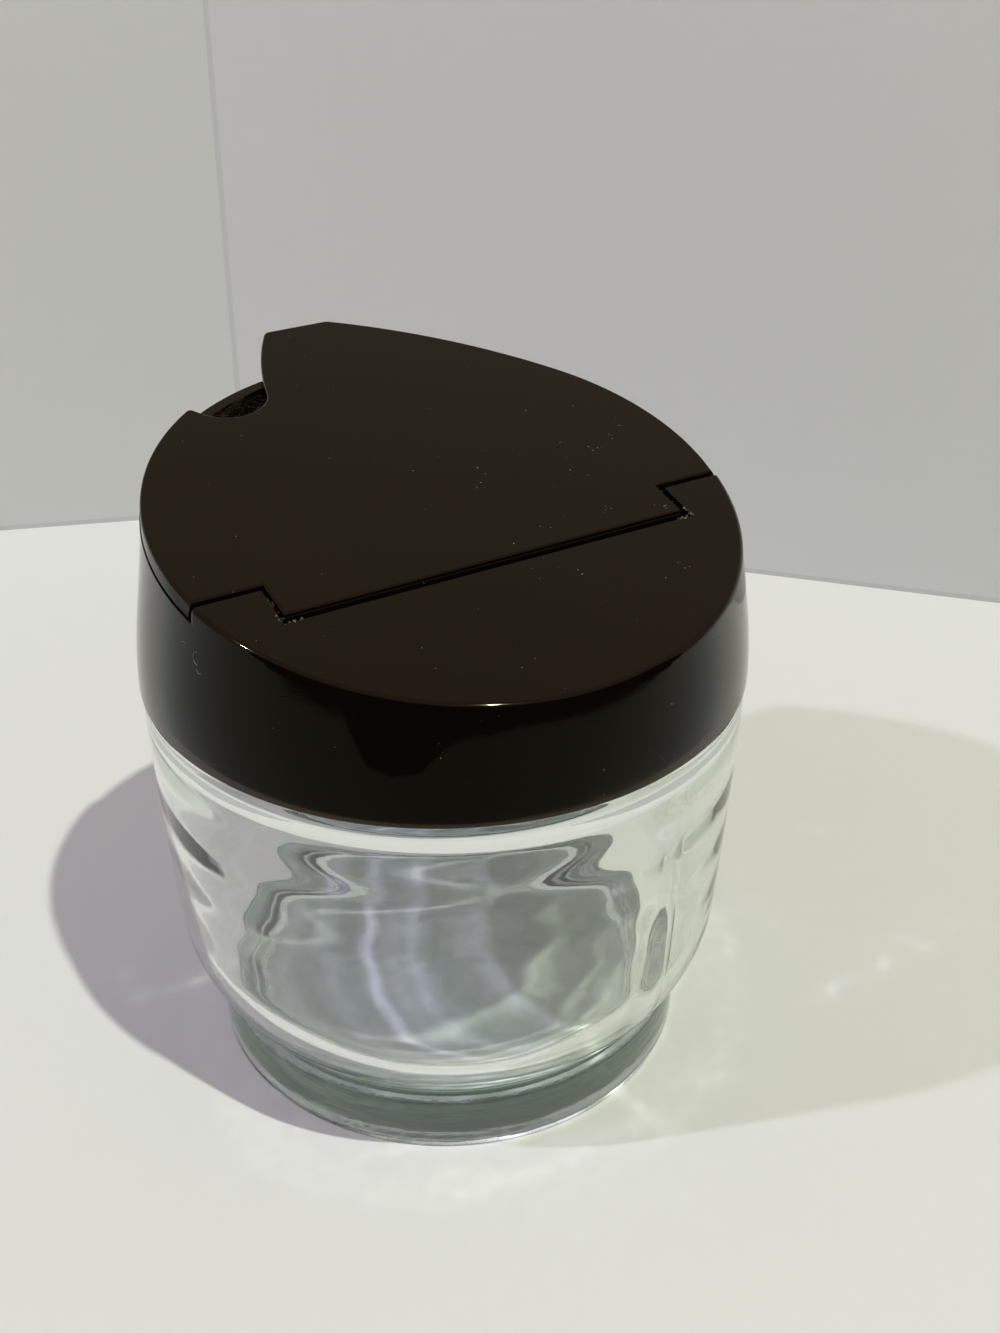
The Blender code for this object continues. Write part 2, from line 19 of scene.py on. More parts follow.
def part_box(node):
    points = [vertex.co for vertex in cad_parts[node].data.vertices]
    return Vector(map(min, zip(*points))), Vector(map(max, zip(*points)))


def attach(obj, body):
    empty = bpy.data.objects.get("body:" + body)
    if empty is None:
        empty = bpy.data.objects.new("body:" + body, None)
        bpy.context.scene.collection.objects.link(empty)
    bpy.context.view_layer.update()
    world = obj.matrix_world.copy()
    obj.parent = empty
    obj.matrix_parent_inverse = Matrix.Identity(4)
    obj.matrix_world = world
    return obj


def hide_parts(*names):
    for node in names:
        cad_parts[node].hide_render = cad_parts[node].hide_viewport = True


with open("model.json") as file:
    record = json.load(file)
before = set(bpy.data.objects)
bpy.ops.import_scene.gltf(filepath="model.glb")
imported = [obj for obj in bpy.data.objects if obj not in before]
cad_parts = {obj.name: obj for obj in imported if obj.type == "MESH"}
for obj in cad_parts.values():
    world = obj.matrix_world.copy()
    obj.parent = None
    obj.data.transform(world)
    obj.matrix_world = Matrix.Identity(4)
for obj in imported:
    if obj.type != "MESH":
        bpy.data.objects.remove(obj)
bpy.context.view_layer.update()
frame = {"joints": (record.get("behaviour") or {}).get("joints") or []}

bl_info = {
    "name": "Condiment jar",
    "version": (1, 0, 0),
    "blender": (4, 5, 0),
    "location": "3D View > Sidebar > Jar",
    "description": "Makes a glass condiment jar with a slanted screw cap and a hinged flap",
    "category": "Object",
}

MM = 0.001
CM = 0.01
BLACK = (0.0, 0.0, 0.0, 1.0)

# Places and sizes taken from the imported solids
GLASS_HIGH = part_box("glass_jar")[1]
SEAL_LOW, SEAL_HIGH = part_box("sealing_ring")
CAP_LOW, CAP_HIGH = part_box("screw_cap")
FLAP_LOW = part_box("hinged_flap")[0]
HINGE_JOINT = next(joint for joint in frame["joints"] if joint["name"] == "flap_hinge")
HINGE_LINE, HINGE_HEIGHT = HINGE_JOINT["pos_m"][1:]

# Facets of the fine forms
TURN_FACETS = 240
RIM_FACETS = 90
WALL_STEPS = 40
SKIRT_STEPS = 26
INNER_SHOULDER_STEPS = 26
GLASS_CORNER_FACETS = 26
GLASS_EDGE_FACETS = 7
EDGE_FACETS = 6
CORNER_FACETS = 10
NOTCH_FACETS = 40
BEAK_FACETS = 30
PIN_FACETS = 28
HOLE_FACETS = 32
BARREL_FACETS = 40
FLOOR_RINGS = 6
NECK_STEP = 0.15 * MM
FIT_ROUNDS = 6
SHARP_ANGLE = radians(35.0)

# Gaps and overlaps of the bodies that are joined or cut
SEAT_GAP = 0.3 * MM
CUT_OVERRUN = 4.0 * MM
WELD_OVERLAP = 0.4 * MM

# Sealing ring
LINER_EDGE_FACETS = 4

# Glass jar
JAR_RADIUS = GLASS_HIGH.x
NECK_TOP = GLASS_HIGH.z
NECK_HEIGHT = 12.4 * MM
SHOULDER_HEIGHT = NECK_TOP - NECK_HEIGHT
WALL_TAPER = 1.65 * MM
WALL_FULLNESS_SHARE = 0.4
FOOT_INSET = 5.0 * MM
FOOT_HEIGHT = 8.5 * MM
FOOT_LOWER_ROUND = 0.7 * MM
FOOT_UPPER_ROUND = 0.9 * MM
FOOT_GROOVE_HEIGHT = 1.9 * MM
FOOT_GROOVE_DEPTH = 0.5 * MM
FOOT_GROOVE_FACETS = 6
CORNER_RADIUS = 18.5 * MM
CORNER_HEIGHT = 22.0 * MM
SHOULDER_ROUND = 1.2 * MM
INNER_SHOULDER_HEIGHT = 4.8 * MM
SHOULDER_WIDTH = 5.15 * MM
NECK_WALL = 3.0 * MM
LIP_ROUND = 1.1 * MM
WALL_LOW_RADIUS = JAR_RADIUS - WALL_TAPER
FOOT_RADIUS = WALL_LOW_RADIUS - FOOT_INSET
NECK_RADIUS = JAR_RADIUS - SHOULDER_WIDTH
PUSH_UP_RADIUS = FOOT_RADIUS - 4.5 * MM
PUSH_UP_HEIGHT = 0.5 * MM
BEARING_WIDTH = 1.2 * MM

# Mould seams of the glass, and the swell of the inner wall by each seam
SEAM_ANGLES = (radians(110.0), radians(290.0))
SEAM_OFFSETS = (radians(0.12), radians(0.36))
SEAM_ROOM = 1.5
SWELL_BACK = radians(4.0)
SWELL_SPREAD = radians(3.8)
SWELL_HEIGHT = 27.0 * MM
SWELL_TALLNESS = 10.0 * MM
SWELL_WAVES = -3.4

# Pressing waves of the inner wall. A zone is its start, its rise, its end below the lip, and its fall
RING_ZONE = (22.0 * MM, 26.0 * MM, 0.0, 12.0 * MM)
RING_LENGTH = 1.35 * MM
RING_SWAY = 0.5
RING_SWAY_START = 0.4
BROAD_RING_SHARE = 0.5
BROAD_RING_LENGTH = 2.3 * MM
BROAD_RING_START = 1.7
LOBE_ZONE = (9.0 * MM, 8.0 * MM, 6.0 * MM, 8.0 * MM)
# Share of each set of lobes, its count round the jar, its start, and the height of one radian of twist
LOBES = ((0.4, 5, 0.9, 9.0 * MM), (0.3, 9, 2.0, -14.0 * MM))

# Screw thread
THREAD_PITCH = 5.0 * MM
THREAD_DEPTH = 1.4 * MM
THREAD_ROOT_WIDTH = 2.2 * MM
THREAD_CREST_WIDTH = 1.0 * MM
THREAD_LOW_EDGE = 3.4 * MM
THREAD_GAP = 0.4 * MM
NECK_THREAD_START = radians(20.0)
NECK_THREAD_TURNS = 1.15
CAP_THREAD_START = radians(152.0)
CAP_THREAD_TURNS = 1.1
THREAD_RUN_OUT = radians(20.0)
THREAD_END_SHARE = 0.05

# Screw cap
CAP_RIM_RADIUS = CAP_HIGH.x
CAP_RIM_HEIGHT = CAP_LOW.z
CAP_TAPER = 2.6 * MM
CAP_RIM_ROUND = 0.3 * MM
TAPER_TOP_HEIGHT = 26.0 * MM
RIM_WALL = 2.0 * MM
RIM_RECESS_HEIGHT = 1.7 * MM
BORE_CLEARANCE = 0.6 * MM
UPPER_WALL = 1.5 * MM
LEDGE_WIDTH = 3.9 * MM
LEDGE_THICKNESS = 1.2 * MM
TOP_SLOPE = radians(10.5)
REAR_COVER = 1.9 * MM
PLATE_THICKNESS = 1.9 * MM
ROOM_LEAST_HEIGHT = 0.54 * MM

# Hinged flap
FLAP_SIDE_INSET = 0.1 * MM
FLAP_THICKNESS = 1.7 * MM
BEAK_LONG_SIDE_X = 5.0 * MM
BEAK_NOTCH_SIDE_X = 4.6 * MM
BEAK_SIDE_RADIUS = 85.0 * MM
BEAK_SIDE_TANGENT = radians(36.0)
BEAK_LONG_ROUND = 2.0 * MM
BEAK_NOTCH_ROUND = 1.2 * MM
NOTCH_RADIUS = 5.6 * MM
NOTCH_ANGLE = radians(26.6)
NOTCH_CENTRE_INSET = 1.6 * MM
NOTCH_LEAN = radians(13.0)
NOTCH_CORNER_ROUND = 0.8 * MM
RIM_TOLERANCE = 0.01 * MM
RIB_THICKNESS = 1.0 * MM
RIB_HEIGHT = 1.4 * MM
RIB_CLEARANCE = 0.5 * MM
FLAP_LIGHTER = 1.05

# Marks of moulding and use. A lint curl is its azimuth, height, radius, start and sweep
DUST_MARGIN = 2.5 * MM
DUST_REAR_START = 18.0 * MM
SLOT_STRIP = 0.5 * MM
CRUMB_SIDE_START = 4.0 * MM
CRUMB_REAR_LENGTH = 2.6 * MM
LUMP_SUBDIVISIONS = 2
LUMP_WAVES = 7000.0
LUMP_ROUGHNESS = 2.2
LUMP_GROWTH = (0.4, 1.4)
FIBRE_FACETS = 6
LINT_FACETS = 14
LINT_LIFT = 0.05 * MM
LINT_CURLS = (
    (radians(10.7), 73.3 * MM, 0.5 * MM, radians(60.0), radians(110.0)),
    (radians(15.0), 72.8 * MM, 0.8 * MM, radians(100.0), radians(170.0)),
    (radians(15.6), 71.6 * MM, 0.5 * MM, radians(200.0), radians(120.0)),
    (radians(120.6), 70.9 * MM, 0.35 * MM, radians(20.0), radians(90.0)))

# Name, paler tone and darker tone
FLECK_TONES = (
    ("dust", (0.16, 0.15, 0.13), (0.06, 0.05, 0.04)),
    # Crumbs of moulding flash, pale partly as a painted highlight on the slot's edges
    ("moulding flash", (0.13, 0.115, 0.08), (0.015, 0.011, 0.007)),
    ("lint", (0.20, 0.20, 0.20), (0.10, 0.10, 0.10)))

# Hinge
HINGE_DEPTH = 1.8 * MM
BARREL_RADIUS = 3.0 * MM
FLAP_REAR_REACH = 3.2 * MM
EAR_GAP = 0.9 * MM
TAIL_INSET = 9.7 * MM
TAIL_SIDE_GAP = 0.6 * MM
GROOVE_WIDTH = 1.5 * MM
PIN_RADIUS = 0.9 * MM
PIN_LENGTH = 2.6 * MM
EAR_BLOCK_LENGTH = 5.6 * MM
EAR_BLOCK_SETBACK = 0.2 * MM

# Radii, heights and places that follow from the sizes above
CAP_TOP_RADIUS = CAP_RIM_RADIUS - CAP_TAPER
FLAP_RADIUS = CAP_TOP_RADIUS - FLAP_SIDE_INSET
BEAK_REACH = -FLAP_LOW.y
TAIL_HALF_WIDTH = FLAP_RADIUS - TAIL_INSET
LEDGE_BOTTOM = SEAL_HIGH.z + SEAT_GAP
LEDGE_TOP = LEDGE_BOTTOM + LEDGE_THICKNESS
TOP_MID_HEIGHT = LEDGE_BOTTOM + REAR_COVER + CAP_TOP_RADIUS * tan(TOP_SLOPE)
RIM_DEPTH = FLAP_THICKNESS + SEAT_GAP
ROOM_REAR = (TOP_MID_HEIGHT - PLATE_THICKNESS - LEDGE_TOP - ROOM_LEAST_HEIGHT) / tan(TOP_SLOPE)
CAP_BORE_RADIUS = NECK_RADIUS + THREAD_DEPTH + BORE_CLEARANCE
UPPER_BORE_RADIUS = CAP_TOP_RADIUS - UPPER_WALL
LEDGE_RADIUS = UPPER_BORE_RADIUS - LEDGE_WIDTH
NECK_THREAD_HEIGHT = SHOULDER_HEIGHT + THREAD_LOW_EDGE + THREAD_ROOT_WIDTH / 2
THREAD_ENGAGEMENT = NECK_RADIUS + 2 * THREAD_DEPTH - CAP_BORE_RADIUS
FLANK_RUN = (THREAD_ROOT_WIDTH - THREAD_CREST_WIDTH) / 2
THREAD_OFFSET = THREAD_CREST_WIDTH + FLANK_RUN * THREAD_ENGAGEMENT / THREAD_DEPTH + THREAD_GAP
FLAP_REAR = HINGE_LINE - FLAP_REAR_REACH
EAR_FRONT = FLAP_REAR + EAR_GAP
EAR_INNER = TAIL_HALF_WIDTH + TAIL_SIDE_GAP
TAIL_REAR = (HINGE_LINE + HINGE_DEPTH * sin(TOP_SLOPE)
             + sqrt(BARREL_RADIUS ** 2 - HINGE_DEPTH ** 2) * cos(TOP_SLOPE))
GROOVE_REAR = TAIL_REAR + GROOVE_WIDTH
NOTCH_DISTANCE = FLAP_RADIUS - NOTCH_CENTRE_INSET

# Camera of the photograph
CAMERA_PLACE = Vector((0.089598, 0.172116, 0.173960))
CAMERA_FORWARD = Vector((-0.42235504, -0.74115116, -0.52183444))
CAMERA_UP = Vector((-0.25575967, -0.45486781, 0.85304294))
CAMERA_FOCUS_PIXELS = 1700.0
CAMERA_LONG_SIDE_PIXELS = 1333.0
CAMERA_SENSOR_MM = 36.0

# Lamp light that passes through the glass and lands on the floor: rays for each side of a square of
# LIGHT_REACH round the target, and the floor's lit square of LIGHT_HALF, in cells
LIGHT_NAME = "light through glass"
LIGHT_TARGET = Vector((0.0, 0.0, 0.036))
LIGHT_REACH = 0.062
LIGHT_RAYS = 560
LIGHT_HALF = 0.165
LIGHT_CELL = 0.0008
LIGHT_SEED = 11
LIGHT_GAIN = 1.5
LIGHT_CONTRAST = 1.4
LIGHT_BRIGHT_PERCENT = 98.5
MOST_BENDS = 14
RAY_OFFSET = 1e-6
GLASS_BENDING = 1.5

# Stage
ROOM_COLOUR = (1.0, 0.89, 0.71)
FLOOR_HALF = 0.75
WALL_HEIGHT = 0.125
KEY_PLACE = (-0.104, 0.450, 1.10)
KEY_SIZE = 0.02
SIDE_PLACE = (0.575, -0.099, 0.692)
SIDE_SIZE = 0.02
KEY_COLOUR = (0.95, 1.0, 0.86)
SIDE_COLOUR = (0.78, 0.74, 1.0)
LAMP_TARGET = Vector((0.0, 0.0, 0.03))
# A card that only reflections see: its glow paints the lit floor's reflection on the skirt, and its black part
# paints a dark reflection
REFLECTION_CARD_RADIUS = 0.125
REFLECTION_CARD_START = radians(-45.0)
REFLECTION_CARD_END = radians(165.0)
REFLECTION_CARD_MIDDLE = radians(60.0)
REFLECTION_CARD_HEIGHT = 0.16
REFLECTION_CARD_LOW = 0.055
PAINTED_REFLECTION_COLOUR = (0.88, 0.98, 0.98)
# Painted reflection of the lit floor on the skirt: glow at the middle, and how it grows to both sides: evenly,
# and steeply near the ends
PAINTED_REFLECTION_GLOW = (0.125, 0.19, 0.20)
# Where the glowing part of the painted reflection ends: degrees round the jar and millimetres of height
PAINTED_REFLECTION_LINE = tuple((radians(angle), height * MM) for angle, height in (
    (-45, 60), (5, 60), (7, 46), (14, 44.5), (33, 45), (37, 39), (40, 33), (47, 30.5), (55, 32.5),
    (59, 38), (66, 43), (84, 44), (98, 42.5), (116, 40.5), (129, 39), (137, 38.5), (139, 60), (165, 60)))
WALL_CORNER = Vector((-0.0349, -0.1629))
RIGHT_WALL_END = Vector((-0.3360, 0.1298))
LEFT_WALL_END = Vector((0.3612, -0.3028))
# Strips of painted shade along the walls' feet and in their corner: width, lift off the wall and colour
SHADE_LINE_WIDTH = 0.0011
SHADE_LINE_LIFT = 0.0004
PAINTED_SHADE_COLOUR = (0.56, 0.565, 0.58)


def colour(name, description, default):
    """A colour setting."""
    return FloatVectorProperty(name=name, description=description, default=default, size=3,
                               min=0.0, max=1.0, subtype='COLOR')


def length(name, description, default):
    """A length setting."""
    return FloatProperty(name=name, description=description, default=default, unit='LENGTH', precision=5)


def amount(name, description, default, **more):
    """A setting that can't go below nought."""
    return FloatProperty(name=name, description=description, default=default, min=0.0, **more)


class GlassSettings(bpy.types.PropertyGroup):
    """Sizes and finish of the glass jar."""

    wall: length("Wall", "Thickness of the glass wall", 3.0 * MM)
    ripple: length("Ripple", "Height of the pressing waves on the inner wall", 0.10 * MM)
    seam: length("Seam", "Height of the mould seams", 0.02 * MM)
    tint: colour("Tint", "Colour that thick glass takes", (0.62, 0.80, 0.64))
    depth: amount("Tint depth", "How strongly thick glass is tinted, per metre", 26.0)


class SealSettings(bpy.types.PropertyGroup):
    """Finish of the sealing ring."""

    edge: length("Edge round", "Rounding of the liner's edges", 0.2 * MM)
    foam: colour("Foam", "Colour of the foam", (0.80, 0.79, 0.75))


class CapSettings(bpy.types.PropertyGroup):
    """Sizes and finish of the cap and the flap."""

    edge: length("Cap edge", "Rounding of the cap's top edge", 0.6 * MM)
    flap_edge: length("Flap edge", "Rounding of the flap's upper edge", 0.4 * MM)
    softening: length("Softening", "Rounding of all other moulded edges", 0.14 * MM)
    plastic: colour("Plastic", "Colour of the brown plastic", (0.0034, 0.0020, 0.0009))
    gloss: amount("Roughness", "Roughness of the plastic", 0.045, max=1.0)


class MarkSettings(bpy.types.PropertyGroup):
    """Small marks of moulding and use."""

    dust: amount("Dust", "Specks for each square centimetre", 0.9)
    speck: length("Speck", "Radius of a dust speck", 0.07 * MM)
    # The crumbs' pale tone is partly a painted highlight on the slot's edges
    crumb: length("Crumb", "Radius of the moulding crumbs in the slot's corners", 0.16 * MM)
    crumbs: amount("Crumbs", "Crumbs for each square millimetre of the slot's edges", 5.0)
    fibre: length("Fibre", "Thickness of the lint fibres", 0.09 * MM)
    seed: IntProperty(name="Seed", description="Start of the random scatter", default=7)


class StageSettings(bpy.types.PropertyGroup):
    """The floor, the walls and the light."""

    floor: colour("Floor", "Colour of the floor", (0.80, 0.80, 0.79))
    wall: colour("Wall", "Colour of the walls", (0.64, 0.642, 0.652))
    key_power: amount("Key lamp", "Power of the warm lamp", 7.8, unit='POWER')
    fill_power: amount("Side lamp", "Power of the cool lamp", 2.1, unit='POWER')
    sky: amount("Room light", "Strength of the light all round", 0.255)


class Value:
    """A number in a node tree. Arithmetic on it adds Math nodes."""

    def __init__(self, graph, socket):
        self.graph = graph
        self.socket = socket

    def join(self, operation, first, second=None):
        inputs = {0: first} if second is None else {0: first, 1: second}
        return self.graph.add('ShaderNodeMath', {"operation": operation}, inputs)

    def least(self, other):
        """The smaller of two numbers."""
        return self.join('MINIMUM', self, other)

    def most(self, other):
        """The larger of two numbers."""
        return self.join('MAXIMUM', self, other)

    def fade(self, low, high, start=0.0, end=1.0):
        """Go smoothly from start to end while the number goes from low to high."""
        inputs = {"Value": self, "From Min": low, "From Max": high, "To Min": start, "To Max": end}
        return self.graph.add('ShaderNodeMapRange', {"interpolation_type": 'SMOOTHSTEP'}, inputs)


def add_arithmetic(name, operation):
    """Let a sign of arithmetic work on values, on either side of a plain number."""
    setattr(Value, f"__{name}__", lambda value, other: value.join(operation, value, other))
    setattr(Value, f"__r{name}__", lambda value, other: value.join(operation, other, value))


for sign, node_operation in (("add", 'ADD'), ("sub", 'SUBTRACT'), ("mul", 'MULTIPLY'), ("truediv", 'DIVIDE')):
    add_arithmetic(sign, node_operation)


class Graph:
    """Adds nodes to one tree: settings first, then the values and links of the sockets."""

    def __init__(self, tree):
        self.tree = tree

    def add(self, kind, settings=None, inputs=None, output=0):
        node = self.tree.nodes.new(kind)
        for name, value in (settings or {}).items():
            setattr(node, name, value)
        self.feed(node, inputs or {})
        return Value(self, node.outputs[output])

    def step(self, kind, inputs=None, **settings):
        """Add a node that makes or changes geometry."""
        return self.add('GeometryNode' + kind, settings, inputs)

    def feed(self, node, inputs):
        """Link values to the sockets of a node, or set plain numbers and colours there."""
        for key, value in inputs.items():
            if isinstance(value, Value):
                self.tree.links.new(value.socket, node.inputs[key])
            else:
                node.inputs[key].default_value = value

    def mix(self, factor, first, second):
        """Mix two colours."""
        return self.add('ShaderNodeMix', {"data_type": 'RGBA'}, {0: factor, 6: first, 7: second}, output=2)


class Finish(Graph):
    """The node material of a piece."""

    def __init__(self, name):
        self.material = bpy.data.materials.new(name)
        self.material.use_nodes = True
        super().__init__(self.material.node_tree)
        self.shader = self.tree.nodes["Principled BSDF"]
        self.output = self.tree.nodes["Material Output"]
        self.place = self.add('ShaderNodeTexCoord', output="Object")

    def noise(self, scale, place=None, **shape):
        """Soft noise of a number of waves per metre, shaped by its Detail, Roughness and Distortion."""
        inputs = {name.title(): value for name, value in shape.items()}
        return self.add('ShaderNodeTexNoise', None, {"Vector": place or self.place, "Scale": scale, **inputs})

    def cells(self, scale, place=None, feature='F1'):
        """Distances in random cells of a number per metre."""
        return self.add('ShaderNodeTexVoronoi', {"feature": feature},
                        {"Vector": place or self.place, "Scale": scale}, output="Distance")

    def lines(self, scale, place, width):
        """Thin lines along the edges of random cells."""
        return self.cells(scale, place, 'DISTANCE_TO_EDGE').fade(0.0, width, 1.0, 0.0)

    def placed(self, scale, turn=(0.0, 0.0, 0.0)):
        """Stretched and turned coordinates."""
        return self.add('ShaderNodeMapping', None, {"Vector": self.place, "Rotation": turn, "Scale": scale})

    def parts(self):
        """The X, Y and Z of the place."""
        node = self.tree.nodes.new('ShaderNodeSeparateXYZ')
        self.feed(node, {0: self.place})
        return [Value(self, socket) for socket in node.outputs]

    def bump(self, height, distance, **more):
        """A bumped normal, on another normal or of another strength where they are given."""
        inputs = {name.title(): value for name, value in more.items()}
        return self.add('ShaderNodeBump', None, {"Height": height, "Distance": distance, **inputs})

    def shade(self, inputs):
        """Feed the shader, and give the material."""
        self.feed(self.shader, inputs)
        return self.material


def tone(rgb, factor=1.0):
    """A colour with its alpha, made lighter or darker."""
    return (*(channel * factor for channel in rgb), 1.0)


def glass_material(settings):
    """Clear pressed glass: pressing marks, streaks in the foot, a matt underside and a green depth."""
    glass = Finish("clear pressed glass")
    height = glass.parts()[2]
    under = height.fade(PUSH_UP_HEIGHT, PUSH_UP_HEIGHT + 0.4 * MM, 1.0, 0.0)
    low = height.fade(FOOT_HEIGHT, FOOT_HEIGHT + 2.0 * MM, 1.0, 0.0)
    streaks = glass.noise(220.0, glass.placed((1.0, 1.0, 0.25)), detail=3.0)
    pressing = glass.noise(90.0, glass.placed((1.0, 1.0, 0.5)))
    smears = glass.noise(60.0, detail=5.0, roughness=0.6, distortion=0.8).fade(0.52, 0.80)
    scratches = glass.lines(130.0, glass.placed((1.0, 1.0, 6.0)), 0.012)
    stipple = glass.noise(500.0) * under
    draw_marks = glass.noise(750.0, glass.placed((0.12, 0.12, 1.0), turn=(0.16, 0.10, 0.0)),
                             detail=3.0, roughness=0.6)
    pressed = glass.bump(streaks * 0.2 + pressing * 0.8, 0.04 * MM)
    drawn = glass.bump(draw_marks * low, 0.14 * MM, normal=pressed)
    clear = glass.mix(smears, (1.0, 1.0, 1.0, 1.0), (0.965, 0.98, 0.972, 1.0))
    volume = glass.add('ShaderNodeVolumeAbsorption', None,
                       {"Color": tone(settings.tint), "Density": settings.depth})
    glass.feed(glass.output, {"Volume": volume})
    return glass.shade({
        "Base Color": glass.mix(draw_marks.fade(0.48, 0.66) * low * 0.8, clear, (0.74, 0.82, 0.76, 1.0)),
        "Roughness": smears * 0.03 + scratches * smears * 0.10 + under * 0.28,
        "Normal": glass.bump(stipple, 0.12 * MM, normal=drawn),
        "Transmission Weight": 1.0, "IOR": GLASS_BENDING})


def plastic_material(name, settings, lighter=1.0):
    """Dark brown moulded plastic with a fine skin, handling scratches and a little dust."""
    plastic = Finish(name)
    skin = plastic.noise(900.0)
    waves = plastic.noise(75.0, detail=1.0)
    mottling = plastic.noise(28.0, detail=4.0, roughness=0.6).fade(0.3, 0.7)
    worn = plastic.noise(46.0, detail=3.0, roughness=0.6).fade(0.50, 0.72)
    first, second = (plastic.lines(scale, plastic.placed((1.0, 0.06, 1.0), turn=(0.0, 0.0, turn)), 0.006)
                     for turn, scale in ((0.5, 70.0), (1.9, 95.0)))
    scratches = first.most(second) * plastic.noise(160.0, detail=1.0).fade(0.55, 0.68)
    dust = plastic.cells(1500.0).fade(0.10, 0.16, 1.0, 0.0) * plastic.noise(240.0).fade(0.66, 0.74)
    brown = plastic.mix(mottling, *(tone(settings.plastic, share * lighter) for share in (0.86, 1.14)))
    scuffed = plastic.mix(scratches * 0.35, brown, tone(settings.plastic, 3.0))
    fine = plastic.bump(skin * 0.5 - scratches * 0.5, 0.006 * MM)
    return plastic.shade({
        "Base Color": plastic.mix(dust * 0.8, scuffed, (0.30, 0.29, 0.27, 1.0)),
        "Roughness": worn * 0.07 + scratches * 0.15 + dust * 0.5 + settings.gloss + skin * 0.03,
        "Normal": plastic.bump(waves, 0.02 * MM, normal=fine),
        "IOR": 1.46, "Specular Tint": (1.0, 0.83, 0.57, 1.0)})


def foam_material(settings):
    """Pale closed-cell foam of the liner."""
    foam = Finish("seal foam")
    stains = foam.noise(90.0, detail=4.0, roughness=0.6)
    return foam.shade({
        "Base Color": foam.mix(stains, tone(settings.foam, 0.92), tone(settings.foam, 1.04)),
        "Roughness": 0.60 + stains * 0.20, "Normal": foam.bump(foam.cells(2600.0), 0.05 * MM)})


def fleck_material(name, pale, dark):
    """Matt crumbs and fibres of two mixed tones."""
    fleck = Finish(name)
    blotches = fleck.noise(1800.0)
    return fleck.shade({
        "Base Color": fleck.mix(blotches.fade(0.35, 0.65), tone(dark), tone(pale)),
        "Roughness": 0.45 + blotches * 0.30, "Normal": fleck.bump(blotches, 0.03 * MM)})


def card_finish(name, rgb):
    """Matt card with a faint grain."""
    card = Finish(name)
    grain = card.noise(1400.0, detail=4.0, roughness=0.6)
    clouds = card.noise(9.0, detail=3.0)
    card.shade({"Base Color": card.mix(clouds, tone(rgb, 0.98), tone(rgb, 1.02)),
                "Roughness": 0.72 + grain * 0.1, "Normal": card.bump(grain, 0.03 * MM, strength=0.5)})
    return card


def floor_material(rgb):
    """Card that also shows the lamp light which passed through the glass."""
    card = card_finish("floor card", rgb)
    passed = card.add('ShaderNodeAttribute', {"attribute_name": LIGHT_NAME}, output="Color")
    return card.shade({"Emission Color": passed, "Emission Strength": 1.0})


def one_sided_material(name, rgb):
    """Card that shows nothing from behind."""
    card = card_finish(name, rgb)
    behind = card.add('ShaderNodeNewGeometry', output="Backfacing")
    clear = card.add('ShaderNodeBsdfTransparent')
    front = Value(card, card.shader.outputs["BSDF"])
    card.feed(card.output, {"Surface": card.add('ShaderNodeMixShader', None, {0: behind, 1: front, 2: clear})})
    return card.material


def arc(centre, radius, start, end, facets):
    """Points along an arc, both ends included."""
    step = (end - start) / facets
    return [(centre[0] + radius * cos(start + step * i), centre[1] + radius * sin(start + step * i))
            for i in range(facets + 1)]


def round_axis(radius, start, end, facets):
    """Points along an arc about the jar's axis."""
    return arc((0.0, 0.0), radius, start, end, facets)


def even_angles():
    """Angles in equal steps round the jar."""
    return [2 * pi * i / TURN_FACETS for i in range(TURN_FACETS)]


def level_ring(angles, radius, height):
    """A level circle of points."""
    return [(radius * cos(angle), radius * sin(angle), height) for angle in angles]


def skinned(rings):
    """A body skinned over rings of points that all have the same count."""
    bm = bmesh.new()
    rows = [[bm.verts.new(point) for point in ring] for ring in rings]
    bm.faces.new(reversed(rows[0]))
    bm.faces.new(rows[-1])
    for lower, upper in zip(rows, rows[1:]):
        for i in range(len(lower)):
            bm.faces.new((lower[i - 1], lower[i], upper[i], upper[i - 1]))
    return bm


def turned(profile):
    """Turn a profile of (radius, height) about the axis."""
    return skinned([level_ring(even_angles(), radius, height) for radius, height in profile])


def linked(name, data):
    """A new object in the scene."""
    item = bpy.data.objects.new(name, data)
    bpy.context.scene.collection.objects.link(item)
    return item


def new_mesh(name, bm, materials):
    """Turn a bmesh into a mesh with its materials."""
    mesh = bpy.data.meshes.new(name)
    bm.to_mesh(mesh)
    bm.free()
    for material in materials:
        mesh.materials.append(material)
    return mesh


def mesh_object(name, bm, *materials):
    """Turn a bmesh into an object with its faces pointing out."""
    bmesh.ops.recalc_face_normals(bm, faces=bm.faces)
    return linked(name, new_mesh(name, bm, materials))


def shade_smooth(item):
    """Shade all faces of an object smoothly."""
    for face in item.data.polygons:
        face.use_smooth = True


def boolean(item, helper, operation):
    """Join a helper body to the piece, or cut it away, and give the helper back."""
    step = item.modifiers.new(helper.name, 'BOOLEAN')
    step.operation = operation
    step.solver = 'EXACT'
    step.object = helper
    return helper


def soften(item, width):
    """Round the sharp moulded edges and shade the faces smoothly between them."""
    bevel = item.modifiers.new("softening", 'BEVEL')
    bevel.width = width
    bevel.segments = 2
    bevel.limit_method = 'ANGLE'
    bevel.angle_limit = SHARP_ANGLE
    bevel.use_clamp_overlap = True
    normals = item.modifiers.new("even shading", 'WEIGHTED_NORMAL')
    normals.keep_sharp = True


